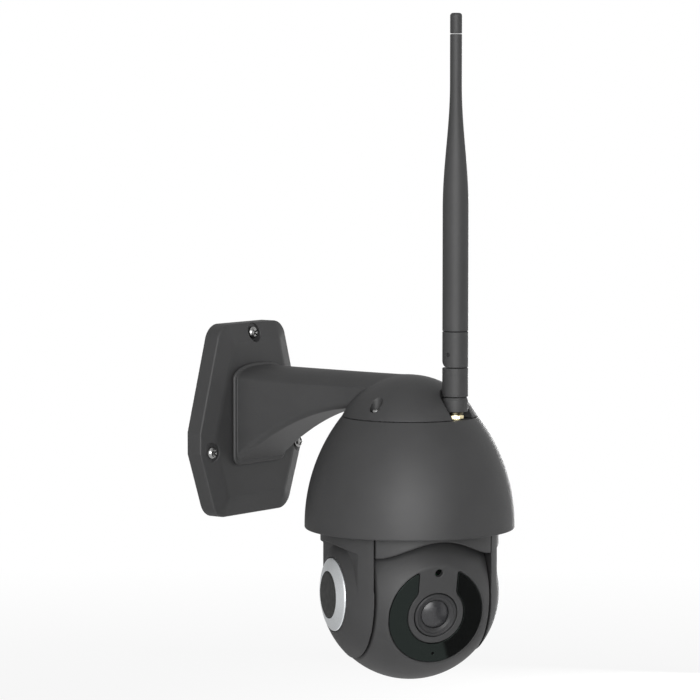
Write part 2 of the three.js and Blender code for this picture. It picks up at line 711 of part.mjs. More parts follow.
function antennaTip() {
  const round = arc(0, TIP_TOP - ANTENNA_TIP_RADIUS, ANTENNA_TIP_RADIUS, 0, PI / 2, 4);
  round[round.length - 1][0] = 0;
  return turnedGeometry([[0, TIP_BOTTOM], [ANTENNA_TIP_RADIUS, TIP_BOTTOM], ...round], 16);
}
piece(antenna, "antenna_tip", antennaTip(), whipPlastic);

// ---- yoke, about the point where the pan and tilt axes cross; +X is the tilt axis and -Y is forwards ----
const yoke = frame(camera, [0, DOME_Y, BALL_Z], [0, 0, degrees(PAN_REST)]);

// Sphere about the middle, as a turned solid.
function sphere(radius, segments = 32, rows = 12) {
  const curve = arc(0, 0, radius, -PI / 2, PI / 2, rows);
  curve[0][0] = 0;
  curve[rows][0] = 0;
  return turned(curve, segments);
}

// Below the tilt axis a rounded bottom, above it an upright cylinder.
function yokeBody(inset, top) {
  const side = YOKE_RADIUS - inset;
  const curve = arc(0, 0, 1, -PI / 2, 0, 5).map(([x, z]) => [x * side, z * (YOKE_BULGE - inset)]);
  curve[0][0] = 0;
  return turned([...curve, [side, top], [0, top]], 36);
}

// What is cut from an arm above its hub: everything beyond the plane x = `flat`, under a low arch.
function archCutter(flat, top) {
  const high = arc(0, top - ARCH_RADIUS, ARCH_RADIUS, degrees(70), degrees(110), 5);
  const side = new THREE.Shape(vectors([[-32, -50], [32, -50], ...high]));
  return solidOf(sideways(slabGeometry(side, flat, 60).rotateZ(PI / 2)));
}

// The arm on the +X side. The other one is the same piece turned half round.
function yokeArm() {
  const top = NECK_DISC[0] - GAP;
  const outer = common(
    join(cut(yokeBody(0, top), archCutter(EAR_FLAT, ARCH_TOP)), sphere(YOKE_BULGE)),
    block([ARM_INNER, 60], [-60, 60], [-60, 60]),
  );
  const inner = common(
    join(
      cut(yokeBody(SHELL_WALL, top - 2.5), archCutter(EAR_FLAT - SHELL_WALL, ARCH_TOP + SHELL_WALL)),
      sphere(YOKE_BULGE - SHELL_WALL, 24, 8),
    ),
    block([ARM_INNER + 2, 60], [-60, 60], [-60, 60]),
  );
  const boss = rod(3, 34, top, 8, YOKE_SCREW_X);
  const cavity = cut(inner, sideRod(20.6, SEAT_DEPTH - SHELL_WALL, 60), boss);
  const hole = rod(YOKE_SCREW.hole, 36, top + 1, 8, YOKE_SCREW_X);
  const seat = sideRod(RING_OUTER + GAP, SEAT_DEPTH, 60, 28);
  return cut(outer, cavity, seat, sideRod(AXLE_RADIUS + GAP, 28, ARM_INNER + 3), hole);
}

function yokeNeck() {
  const [discBottom, discTop] = NECK_DISC;
  const drum = ring(YOKE_RADIUS - 2, YOKE_RADIUS, VISOR_EDGE, discBottom + 0.5, 36);
  const roof = rod(YOKE_RADIUS - 1, 43.5, discBottom + 0.5, 36);
  const middle = block([-NECK_HALF, NECK_HALF], [-60, 60], [0, 60]);
  const wave = Array.from({ length: 13 }, (_, i) => {
    const x = 31 - (62 * i) / 12;
    return [x, VISOR_MIDDLE + VISOR_WAVE * cos(4 * Math.asin(x / YOKE_RADIUS))];
  });
  const below = new THREE.Shape(vectors([[-31, 0], [31, 0], ...wave]));
  const visor = solidOf(frontwards(slabGeometry(below, 0, 60)));
  const disc = rod(YOKE_RADIUS - 0.4, discBottom, discTop, 36);
  const hub = rod(HUB_RADIUS, discTop - 1, HUB_TOP, 24);
  const screwSeats = [-YOKE_SCREW_X, YOKE_SCREW_X].flatMap((x) => [
    rod(YOKE_SCREW.hole, discBottom - 1, discTop + 1, 8, x),
    rod(YOKE_SCREW.head + 0.4, discTop - YOKE_SCREW.seat, discTop + 1, 10, x),
  ]);
  const groove = ring(HUB_RADIUS - 0.8, HUB_RADIUS + 2, HUB_TOP - 3, HUB_TOP - 1.6);
  return cut(
    join(common(join(drum, roof), middle), disc, hub),
    visor,
    sphere(BALL_RADIUS + 0.8, 24, 10),
    rod(CABLE_BORE, 40, HUB_TOP + 1, 16),
    groove,
    ...screwSeats,
  );
}

piece(yoke, "yoke_neck", yokeNeck(), housing);

function panGear() {
  const teeth = gearOutline(PAN_TEETH, PAN_MODULE, PI / 2 - degrees(PAN_REST) + PI / PAN_TEETH);
  return cut(slab(teeth, ...PAN_GEAR_Z.map((z) => z - BALL_Z)), rod(HUB_RADIUS + GAP, 50, 70, 24));
}
piece(yoke, "pan_gear", panGear(), acetal);

function hubClip() {
  const gapBlock = block([-2.5, 2.5], [0, 20], [0, 90]);
  return cut(ring(HUB_RADIUS - 0.5, HUB_RADIUS + 2.2, HUB_TOP - 2.8, HUB_TOP - 1.8), gapBlock);
}
piece(yoke, "hub_clip", hubClip(), zinc);

const hubRingProfile = [
  [RING_INNER, SEAT_DEPTH + GAP],
  [RING_OUTER, SEAT_DEPTH + GAP],
  [RING_OUTER, 41],
  [RING_INNER, 43.6],
  [RING_INNER, SEAT_DEPTH + GAP],
];
const hubDiscProfile = [
  [0, SEAT_DEPTH + GAP],
  [RING_INNER - GAP, SEAT_DEPTH + GAP],
  [RING_INNER - GAP, 43.2],
  [RING_INNER - 1, 43.7],
  [0, 44.2],
];

// The axle is fixed in its arm's wall by its flange, and the ball turns on it. A cable runs through it.
function axle(shoulder, end) {
  const bore = 3;
  const flange = { radius: 11, inner: ARM_INNER + 2 + GAP, outer: 35.6 };
  const profile = [
    [bore, end],
    [AXLE_END, end],
    [AXLE_END, shoulder],
    [AXLE_RADIUS, shoulder],
    [AXLE_RADIUS, flange.inner],
    [flange.radius, flange.inner],
    [flange.radius, flange.outer],
    [bore, flange.outer],
    [bore, end],
  ];
  return turnedGeometry(profile, 16);
}

for (const [side, turn] of [["right", 0], ["left", PI]]) {
  const half = frame(yoke, [0, 0, 0], [0, 0, turn]);
  piece(half, `yoke_arm_${side}`, yokeArm(), housing);
  piece(half, `hub_ring_${side}`, sideways(turnedGeometry(hubRingProfile, 24)), silver);
  piece(half, `hub_disc_${side}`, sideways(turnedGeometry(hubDiscProfile, 24)), darkPlastic);
  const screwPlace = [YOKE_SCREW_X, 0, NECK_DISC[1] - YOKE_SCREW.seat + GAP];
  piece(half, `yoke_screw_${side}`, screwGeometry(YOKE_SCREW), screwSteel, screwPlace);
  piece(half, `tilt_axle_${side}`, sideways(axle(24.2, side === "right" ? 19.7 : 23)), zinc);
}

// The fixed gear has a gap where the ball's pinion has a tooth.
const fixedGear = slab(
  gearOutline(TILT_TEETH, TILT_MODULE, PI / 2 + degrees(TILT_REST) + PI / TILT_TEETH),
  ...TILT_GEAR_X,
);
piece(yoke, "tilt_gear", sideways(geometryOf(cut(fixedGear, rod(AXLE_END + GAP, 0, 40, 16)))), acetal);

// ---- ball, drawn with +Z forwards out of the lens and +Y up ----
const ball = frame(yoke, [0, 0, 0], [PI / 2 + degrees(TILT_REST), 0, 0]);

// The ball's outside or inside between two flat sides, from one depth to another.
function ballBody(inset, [z0, z1], segments = 32, rows = 12) {
  const half = BALL_HALF - inset;
  return common(sphere(BALL_RADIUS - inset, segments, rows), block([-half, half], [-60, 60], [z0, z1]));
}

const tabBlock = (half, z) => block([-half, half], [0, 40], z);

function ballFront() {
  const outside = ballBody(0, [BALL_SEAM + 0.15, FACE]);
  const inside = ballBody(SHELL_WALL, [-60, FACE - FACE_WALL], 24, 10);
  const depth = [0, 60];
  const recess = cut(
    ring(WINDOW.inner - GAP, WINDOW.outer + GAP, FACE - WINDOW.thick - GAP, 60, 28),
    tabBlock(TAB_HALF, depth),
  );
  const lampOpening = cut(ring(16.2, 22.8, 20, 60, 24), tabBlock(TAB_HALF + 1.4, depth));
  return cut(
    outside,
    inside,
    recess,
    lampOpening,
    rod(LENS_HOLE, 20, 60, 24),
    rod(1.5, 20, 60, 10, 0, SENSOR_HEIGHT),
    sideRod(AXLE_RADIUS + GAP, -40, 40),
  );
}
piece(ball, "ball_front", ballFront(), housing);

// The rear shell carries the rib that the tilt motor is fixed to.
function ballRear() {
  const outside = ballBody(0, [-60, BALL_SEAM - 0.15]);
  const inside = ballBody(SHELL_WALL, [-60, 0], 24, 10);
  const rib = common(
    block([18.3, 19.6], [-12, 12], [-60, BALL_SEAM - 0.15]),
    ballBody(1, [-60, 0], 24, 10),
  );
  const shaftHole = sideRod(5.6, 10, 25, 16).translate([0, 0, -TILT_CENTRES]);
  return cut(join(cut(outside, inside), rib), shaftHole);
}
piece(ball, "ball_rear", ballRear(), housing);

function irWindow() {
  const plate = ring(WINDOW.inner, WINDOW.outer, FACE - WINDOW.thick, FACE, 32);
  return cut(plate, tabBlock(TAB_HALF + GAP, [0, 60]), rod(0.6, 0, 60, 8, 0, MIC_HEIGHT));
}
piece(ball, "ir_window", irWindow(), windowGlass);

const bezelProfile = [
  [7.9, 28.5],
  [10.9, 28.5],
  [10.9, 32.2],
  [13.4, 32.2],
  [13.4, FACE - FACE_WALL - GAP],
  [10.9, FACE - FACE_WALL - GAP],
  [10.9, 36.6],
  [10.4, 37],
  [9.4, 37],
  [8.9, 36.1],
  [7.9, 35.7],
  [7.9, 28.5],
];
piece(ball, "lens_bezel", turnedGeometry(bezelProfile, 20), darkPlastic);

function lensGlassGeometry() {
  const { radius, bottom, crown, curvature } = LENS_GLASS;
  const dome = arc(0, crown - curvature, curvature, Math.acos(radius / curvature), PI / 2, 4);
  dome[dome.length - 1][0] = 0;
  return turnedGeometry([[0, bottom], [radius, bottom], ...dome], 20);
}
piece(ball, "lens_glass", lensGlassGeometry(), lensGlass);

function lensBarrel() {
  const base = block([-9, 9], [-9, 9], [15, 20]);
  return join(rod(LENS_GLASS.radius - 0.1, 19, LENS_GLASS.bottom - GAP, 20), base);
}
piece(ball, "lens_barrel", lensBarrel(), darkPlastic);
piece(ball, "sensor_board", block([-18, 18], [-17, 17], [13.1, 14.7]), circuit);

piece(ball, "lamp_board", ring(11.5, 24, 29.3, 30.9, 24), circuit);
LAMP_ANGLES.forEach((a, i) => {
  const round = arc(0, 32.4, 2.3, 0, PI / 2, 3);
  round[round.length - 1][0] = 0;
  const lamp = turnedGeometry([[0, 31.2], [2.3, 31.2], ...round], 10);
  piece(ball, `ir_lamp_${i + 1}`, lamp, lampResin, [LAMP_CIRCLE * cos(a), LAMP_CIRCLE * sin(a), 0]);
});
piece(ball, "light_sensor", rodGeometry(1.15, 31.2, 35, 10), lampResin, [0, SENSOR_HEIGHT, 0]);
piece(ball, "microphone", rodGeometry(2.4, 31.2, 33.6, 14), zinc, [0, MIC_HEIGHT, 0]);

piece(ball, "tilt_motor", sideways(rodGeometry(9.5, 3.5, 18, 20)), zinc, [0, 0, -TILT_CENTRES]);

function tiltPinion() {
  const teeth = slab(gearOutline(PINION_TEETH, TILT_MODULE, PI), ...TILT_GEAR_X);
  return sideways(geometryOf(join(teeth, rod(1.5, 18.3, TILT_GEAR_X[0] + 1, 10))));
}
piece(ball, "tilt_pinion", tiltPinion(), acetal, [0, 0, -TILT_CENTRES]);

export default camera;
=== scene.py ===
import json
import math
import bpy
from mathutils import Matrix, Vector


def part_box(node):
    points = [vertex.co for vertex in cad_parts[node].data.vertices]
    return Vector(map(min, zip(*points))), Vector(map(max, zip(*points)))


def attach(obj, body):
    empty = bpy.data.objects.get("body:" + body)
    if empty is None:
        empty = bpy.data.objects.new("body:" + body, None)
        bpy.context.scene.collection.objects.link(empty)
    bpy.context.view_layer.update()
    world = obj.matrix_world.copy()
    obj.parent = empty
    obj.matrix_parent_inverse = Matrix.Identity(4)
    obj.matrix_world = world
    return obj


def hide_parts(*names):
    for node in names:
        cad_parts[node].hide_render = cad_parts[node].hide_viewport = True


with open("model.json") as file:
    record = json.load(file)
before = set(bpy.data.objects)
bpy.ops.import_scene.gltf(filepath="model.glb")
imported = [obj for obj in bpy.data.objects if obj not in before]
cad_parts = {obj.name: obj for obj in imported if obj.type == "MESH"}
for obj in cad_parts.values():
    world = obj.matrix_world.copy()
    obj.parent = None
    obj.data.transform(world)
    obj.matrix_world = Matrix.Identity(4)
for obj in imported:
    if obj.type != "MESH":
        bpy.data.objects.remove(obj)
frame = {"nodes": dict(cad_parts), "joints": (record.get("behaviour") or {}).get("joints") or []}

from types import SimpleNamespace

import bpy
import numpy as np
from bpy.props import FloatProperty, FloatVectorProperty, IntProperty, PointerProperty
from mathutils import Matrix, Vector

bl_info = {
    "name": "Pan and Tilt Camera",
    "version": (1, 0, 0),
    "blender": (4, 5, 0),
    "location": "View3D > Sidebar > Camera",
    "description": "Finished surfaces for a wall-mounted pan and tilt camera with a folding antenna",
    "category": "Object",
}

MM = 0.001
TURN = 2 * math.pi


# ---- places and sizes read from the frame, in millimetres ----
def corners(*nodes):
    """The lowest and highest corner that CAD nodes have together."""
    boxes = [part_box(node) for node in nodes]
    low = [min(box[0][i] for box in boxes) / MM for i in range(3)]
    high = [max(box[1][i] for box in boxes) / MM for i in range(3)]
    return Vector(low), Vector(high)


def hinge(name):
    """A joint's place in millimetres, its axis, and its lower limit in radians."""
    joint = next(j for j in frame["joints"] if j["name"] == name)
    lower = math.radians(joint.get("range_deg", [0])[0])
    return Vector(joint["pos_m"]) / MM, Vector(joint["axis"]).normalized(), lower


PLATE_LOW, PLATE_HIGH = corners("wall_plate")
DOME_LOW, DOME_HIGH = corners("dome_shell")
ARM_LOW, ARM_HIGH = corners("support_arm")
WHIP_LOW, WHIP_HIGH = corners("antenna_whip")
TIP_LOW, TIP_HIGH = corners("antenna_tip")
DOME_AXIS = hinge("pan")[0]
ANTENNA_AXIS = hinge("antenna_fold")[0]
TILT_CENTRE, TILT_AXIS, TILT_LEVEL = hinge("tilt")
UP = Vector((0, 0, 1))


def placed(origin, right, up):
    """The matrix that puts a local +X on `right`, +Z on `up` and the local origin on `origin`."""
    turn = Matrix((right, up.cross(right), up)).transposed()
    return Matrix.Translation(origin) @ turn.to_4x4()


DOME_PLACE = Matrix.Translation(DOME_AXIS)
ANTENNA_PLACE = Matrix.Translation(Vector((ANTENNA_AXIS.x, ANTENNA_AXIS.y, 0)))
YOKE_PLACE = placed(TILT_CENTRE, TILT_AXIS, UP)
LEFT_ARM_PLACE = YOKE_PLACE @ Matrix.Rotation(math.pi, 4, "Z")
BALL_PLACE = YOKE_PLACE @ Matrix.Rotation(math.pi / 2 - TILT_LEVEL, 4, "X")  # +Z out of the lens, +Y up
SIDEWAYS = Matrix.Rotation(math.pi / 2, 4, "Y")  # +Z to +X
FRONTWARDS = Matrix.Rotation(math.pi / 2, 4, "X")  # +Z to -Y


# ---- properties ----
def length(default, name, description):
    options = {"unit": "LENGTH", "precision": 5}
    return FloatProperty(name=name, description=description, default=default * MM, **options)


def tint(default, name, description):
    options = {"size": 3, "subtype": "COLOR", "min": 0.0, "max": 1.0}
    return FloatVectorProperty(name=name, description=description, default=default, **options)


def angle(default, name, description):
    default = math.radians(default)
    return FloatProperty(name=name, description=description, default=default, subtype="ANGLE")


def amount(default, name, description):
    return FloatProperty(name=name, description=description, default=default, min=0.0)


def share(default, name, description):
    options = {"subtype": "FACTOR", "min": 0.0, "max": 1.0}
    return FloatProperty(name=name, description=description, default=default, **options)


class PlateSizes(bpy.types.PropertyGroup):
    side_top: length(5.5, "Side Top", "Height where the upright side ends")
    side_bottom: length(-5.7, "Side Bottom", "Height where the upright side begins")
    top_half: length(25.6, "Top Half Width", "Half the width of the top edge before rounding")
    bottom_half: length(29.4, "Bottom Half Width", "Half the width of the bottom edge before rounding")
    corner: length(10, "Corner Radius", "Radius of the four outer corners")
    wall: length(8.7, "Side Depth", "Depth of the wall round the plate")
    band: length(9.5, "Band Width", "Width of the sloping band round the front")
    edge: length(0.6, "Edge Radius", "Rounding of the moulded edges")
    spotface: length(4.8, "Spotface Radius", "Radius of the seats of the wall screws")
    spotface_floor: length(8.2, "Spotface Floor", "Depth at which the top wall screw sits")
    side_floor: length(10.1, "Side Spotface Floor", "Depth at which the two side wall screws sit")


class ArmSizes(bpy.types.PropertyGroup):
    root_half: length(19.8, "Root Half Width", "Half the width at the plate")
    end_half: length(15, "End Half Width", "Half the width at the cap")
    shoulder: length(31, "Shoulder", "Height where the flat sides end")
    crest: length(37.7, "Crest", "Height of the top at the plate")
    crest_drop: length(0.2, "Crest Drop", "How much lower the top is at the dome's axis")
    join: length(80, "Join Depth", "Depth where the arm meets the cap")
    heel: length(3.4, "Heel Radius", "Rounding of the lower edges")
    crease: length(0.5, "Crease Radius", "Fillet between arm and cap")
    lip_half: length(21.4, "Lip Half Width", "Half the width of the lip against the plate")
    lip_top: length(39.2, "Lip Top", "Height of the lip's upper edge")
    lip_bottom: length(-12.9, "Lip Bottom", "Height of the lip's lower edge")
    lip_shoulder: length(31.5, "Lip Shoulder", "Height where the lip's arch begins")
    lip_depth: length(2.2, "Lip Depth", "Thickness of the lip")
    sphere: length(37.9, "Cap Radius", "Radius of the sphere of the cap")
    sphere_centre: length(-0.3, "Cap Centre", "Height of the middle of that sphere")
    pocket: length(3.0, "Screw Pocket Radius", "Radius of the two screw pockets")
    pocket_floor: length(20.6, "Screw Pocket Floor", "Height at which the cap screws sit")
    pocket_place: length(28, "Screw Pocket Place", "Distance of the pockets from the dome's axis")
    antenna_pocket: length(8.6, "Antenna Pocket Radius", "Radius of the antenna's pocket")
    antenna_reach: length(29, "Antenna Pocket Place", "Distance of that pocket from the dome's axis")


class DomeSizes(bpy.types.PropertyGroup):
    side_arc: length(87.5, "Side Arc", "Radius of the arc of the dome's side")
    waist: length(-37, "Waist", "Height where the side stands upright")
    wall: length(2.6, "Wall", "Thickness of the dome")
    roll: length(0.7, "Rim Roll", "Rounding of the rim")
    segments: IntProperty(name="Segments", description="Faces round the dome", default=192, min=24)


class AntennaSizes(bpy.types.PropertyGroup):
    tip_radius: length(2.92, "Tip Radius", "Radius of the thin end")
    taper_start: length(120.5, "Taper Start", "Height where the whip begins to thin")
    taper_length: length(61, "Taper Length", "Length over which it thins")
    pin: length(1.0, "Pin Hole Radius", "Radius of the hinge pin's hole")
    edge: length(0.3, "Edge Radius", "Rounding of the edges")


class YokeSizes(bpy.types.PropertyGroup):
    radius: length(44.5, "Radius", "Radius of the yoke's drum")
    ball: length(44.7, "Hub Bulge Radius", "Radius of the round bulge of the arms")
    inner: length(30.8, "Arm Inside", "Inner plane of the arms")
    ear_flat: length(37, "Ear Flat", "Plane of the recess above the hub")
    arch_top: length(26.6, "Arch Top", "Height of the recess")
    arch_radius: length(80, "Arch Radius", "Radius of the arch over the recess")
    visor_middle: length(25.5, "Visor Middle", "Mean height of the visor's edge above the tilt axis")
    visor_wave: length(4.2, "Visor Wave", "Height of the wave of the visor's edge")
    edge: length(0.8, "Edge Radius", "Rounding of the visor's edge")
    ear_edge: length(0.3, "Ear Edge Radius", "Rounding round the recess above the hub")


class BallSizes(bpy.types.PropertyGroup):
    radius: length(44.2, "Radius", "Radius of the ball")
    half: length(29.8, "Half Width", "Half the ball's width between its flat sides")
    face: length(36.3, "Face", "Distance of the flat face from the middle")
    window_inner: length(14.8, "Window Inside", "Inner radius of the dark window")
    window_outer: length(24.3, "Window Outside", "Outer radius of the dark window")
    tab_half: length(10.2, "Tab Half Width", "Half the width of the tab above the lens")
    lens_hole: length(11.3, "Lens Hole", "Radius of the hole for the lens")
    sensor_height: length(21.7, "Sensor Height", "Height of the light sensor above the lens")
    mic_height: length(-19.9, "Microphone Height", "Height of the microphone's hole")
    seam: length(-10, "Seam", "Depth of the seam between the two halves")


class Finishes(bpy.types.PropertyGroup):
    housing: tint((0.034, 0.034, 0.0346), "Housing", "Colour of the moulded housing")
    whip: tint((0.034, 0.034, 0.0344), "Antenna", "Colour of the antenna's plastic")
    nickel: tint((0.33, 0.33, 0.327), "Screws", "Colour of the plated screws")
    brass: tint((0.93, 0.82, 0.52), "Brass", "Colour of the antenna's nut")
    silver: tint((0.86, 0.885, 0.90), "Hub Ring", "Colour of the silver rings")
    black: tint((0.016, 0.016, 0.0165), "Dark Parts", "Colour of the dark discs and bezel")
    window: tint((0.0054, 0.0057, 0.0056), "Window", "Colour of the infrared window")
    grain: share(0.5, "Grain", "Strength of the moulded grain")


# ---- fields: distance to a surface in millimetres, below zero inside ----
def both(a, b, edge):
    """What two shapes share, its edge rounded."""
    return np.minimum(-edge, np.maximum(a, b)) + np.hypot(np.maximum(edge + a, 0), np.maximum(edge + b, 0))


def either(a, b, fillet):
    """Two shapes together, the corner between them filled."""
    return -both(-a, -b, fillet)


def without(a, b, edge):
    """One shape with another cut out of it."""
    return both(a, -b, edge)


def slab(w, low, high):
    """Everything between two heights."""
    return np.maximum(low - w, w - high)


def outline(x, y, corners):
    """Distance to a convex outline whose corners (x, y, radius) run anticlockwise."""
    normals = []
    for (ax, ay, _), (bx, by, _) in zip(corners, corners[1:] + corners[:1]):
        reach = math.hypot(bx - ax, by - ay)
        normals.append(((by - ay) / reach, (ax - bx) / reach))
    planes = [nx * (x - cx) + ny * (y - cy) for (nx, ny), (cx, cy, _) in zip(normals, corners)]
    distance = np.maximum.reduce(planes)
    for i, (cx, cy, radius) in enumerate(corners):
        (px, py), (nx, ny) = normals[i - 1], normals[i]
        inset = radius / (1 + px * nx + py * ny)
        u, v = x - cx + (px + nx) * inset, y - cy + (py + ny) * inset
        round_part = (px * v - py * u >= 0) & (u * ny - v * nx >= 0)
        distance = np.where(round_part, np.hypot(u, v) - radius, distance)
    return distance


def rounded_box(half, bottom, top, lower, upper):
    """Corners of an upright rectangle with one radius below and one above."""
    return [(-half, bottom, lower), (half, bottom, lower), (half, top, upper), (-half, top, upper)]


def steps(*stops):
    """Grid values through (place, spacing) stops: each spacing holds from its place to the next one."""
    values = [np.array([stops[0][0]], float)]
    for (start, spacing), (end, _) in zip(stops, stops[1:]):
        count = max(1, round((end - start) / spacing))
        values.append(np.linspace(start, end, count + 1)[1:])
    return np.concatenate(values)


def even(low, high, spacing):
    return steps((low, spacing), (high, spacing))


def grid(low, high, margins, spacings):
    """Even grid values along x, y and z, from a margin below one corner to one above the other."""
    return [even(a - margin, b + margin, step) for a, b, margin, step in zip(low, high, margins, spacings)]


def surface_net(field, axes):
    """Points and squares of the surface where the field is zero, one point in each grid cell it crosses."""
    value = field(*np.meshgrid(*axes, indexing="ij", sparse=True))
    inside = value < 0
    shape = np.array(value.shape) - 1
    stride = np.array([shape[1] * shape[2], shape[2], 1])
    cells, places, squares = [], [], []
    for a in range(3):
        b, c = (a + 1) % 3, (a + 2) % 3
        near = [slice(None)] * 3
        near[a] = slice(0, -1)
        far = [slice(None)] * 3
        far[a] = slice(1, None)
        crossing = np.argwhere(inside[tuple(near)] != inside[tuple(far)])
        start = tuple(crossing.T)
        after = crossing.copy()
        after[:, a] += 1
        from_value, to_value = value[start], value[tuple(after.T)]
        place = np.stack([axes[i][crossing[:, i]] for i in range(3)], axis=1)
        place[:, a] += (axes[a][crossing[:, a] + 1] - place[:, a]) * from_value / (from_value - to_value)
        first = crossing @ stride
        turns = ((-1, -1), (0, -1), (0, 0), (-1, 0))
        square = np.stack([first + stride[b] * db + stride[c] * dc for db, dc in turns], axis=1)
        outward = inside[start]
        square[~outward] = square[~outward][:, ::-1]
        squares.append(square)
        cells.append(square.ravel())
        places.append(np.repeat(place, 4, axis=0))
    cells, places, squares = (np.concatenate(part) for part in (cells, places, squares))
    used, index = np.unique(cells, return_inverse=True)
    count = np.bincount(index)
    points = np.stack([np.bincount(index, places[:, i]) / count for i in range(3)], axis=1)
    return points, np.searchsorted(used, squares)


def slope(field, points, step=0.01):
    """The field's gradient at each point."""
    gradient = np.empty_like(points)
    for i in range(3):
        shift = np.zeros(3)
        shift[i] = step
        gradient[:, i] = field(*(points + shift).T) - field(*(points - shift).T)
    return gradient / (2 * step)


def settled(field, points, rounds=4, reach=0.35):
    """Points moved along the field's gradient until they lie on the surface."""
    for _ in range(rounds):
        gradient = slope(field, points)
        move = field(*points.T) / np.maximum((gradient**2).sum(axis=1), 0.2)
        points = points - np.clip(move, -reach, reach)[:, None] * gradient
    return points


def relaxed(field, points, squares, rounds=2):
    """Points spread evenly over the surface."""
    total = len(points)
    for _ in range(rounds):
        normal = slope(field, points)
        normal /= np.linalg.norm(normal, axis=1, keepdims=True) + 1e-9
        corner = squares.ravel()
        count = np.bincount(corner, minlength=total) * 2
        nearby = (np.roll(squares, 1, axis=1), np.roll(squares, -1, axis=1))
        mean = np.zeros_like(points)
        for side in nearby:
            place = points[side.ravel()]
            for i in range(3):
                mean[:, i] += np.bincount(corner, place[:, i], minlength=total)
        pull = mean / count[:, None] - points
        pull -= (pull * normal).sum(axis=1, keepdims=True) * normal
        points = settled(field, points + 0.5 * pull, rounds=2)
    return points


def skin(field, axes):
    """The even, smooth skin of a field: points, squares and normals."""
    points, squares = surface_net(field, axes)
    points = relaxed(field, settled(field, points), squares)
    normals = slope(field, points)
    normals /= np.linalg.norm(normals, axis=1, keepdims=True) + 1e-9
    return points, squares, normals


def skin_mesh(name, parts, place):
    """A mesh of a skin in millimetres, put in its place in metres."""
    points, squares, normals = parts
    turn = np.array(place.to_3x3())
    world = (points @ turn.T + np.array(place.translation)) * MM
    mesh = bpy.data.meshes.new(name)
    mesh.vertices.add(len(world))
    mesh.vertices.foreach_set("co", world.ravel())
    mesh.loops.add(squares.size)
    mesh.loops.foreach_set("vertex_index", squares.ravel())
    mesh.polygons.add(len(squares))
    mesh.polygons.foreach_set("loop_start", np.arange(0, squares.size, 4))
    mesh.update(calc_edges=True)
    mesh.validate()
    mesh.shade_smooth()
    mesh.normals_split_custom_set_from_vertices(normals @ turn.T)
    return mesh


def add_piece(name, mesh, finish, body, slot, *nodes):
    """Puts a finished mesh in the scene, riding on a body, instead of the CAD nodes it stands for."""
    piece = bpy.data.objects.new(name, mesh)
    bpy.context.scene.collection.objects.link(piece)
    mesh.materials.clear()
    mesh.materials.append(finish)
    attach(piece, body)
    if nodes:
        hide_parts(*nodes)
    return piece


def add_skin(name, field, axes, place, finish, body, slot, *nodes):
    """Makes the skin of a field and adds it as a piece."""
    return add_piece(name, skin_mesh(name, skin(field, axes), place), finish, body, slot, *nodes)


# ---- node trees ----
def forward(operation):
    """A Wire's method that puts it and another value into a Math node."""
    return lambda self, other: self.math(operation, self, other)


def reflected(operation):
    """The same with the other value first, as in 1 - wire."""
    return lambda self, other: self.math(operation, other, self)


class Wire:
    """A node's output, usable in sums: an expression on wires adds its Math nodes."""

    def __init__(self, tree, socket):
        self.tree = tree
        self.socket = socket

    def math(self, operation, *values):
        return self.tree.node("ShaderNodeMath", {"operation": operation}, dict(enumerate(values)))

    __add__, __radd__ = forward("ADD"), reflected("ADD")
    __sub__, __rsub__ = forward("SUBTRACT"), reflected("SUBTRACT")
    __mul__, __rmul__ = forward("MULTIPLY"), reflected("MULTIPLY")
    __gt__, __lt__ = forward("GREATER_THAN"), forward("LESS_THAN")

    def root(self):
        return self.math("SQRT", self)

    def cosine(self):
        return self.math("COSINE", self)


class Nodes:
    """A node tree whose nodes all come from one method."""

    def __init__(self, tree):
        self.tree = tree

    def node(self, kind, settings=None, inputs=None, output=0):
        """A node of a kind, with its settings, its sockets' values or wires, and one output as a wire."""
        node = self.tree.nodes.new(kind)
        for name, value in (settings or {}).items():
            if name == "items":
                for _ in range(value - len(node.index_switch_items)):
                    node.index_switch_items.new()
            else:
                setattr(node, name, value)
        for name, value in (inputs or {}).items():
            for one in value if isinstance(value, list) else [value]:
                if isinstance(one, Wire):
                    self.tree.links.new(one.socket, node.inputs[name])
                else:
                    node.inputs[name].default_value = one
        return Wire(self, node.outputs[output]) if node.outputs else None

    def xyz(self, x, y, z):
        return self.node("ShaderNodeCombineXYZ", inputs={0: x, 1: y, 2: z})


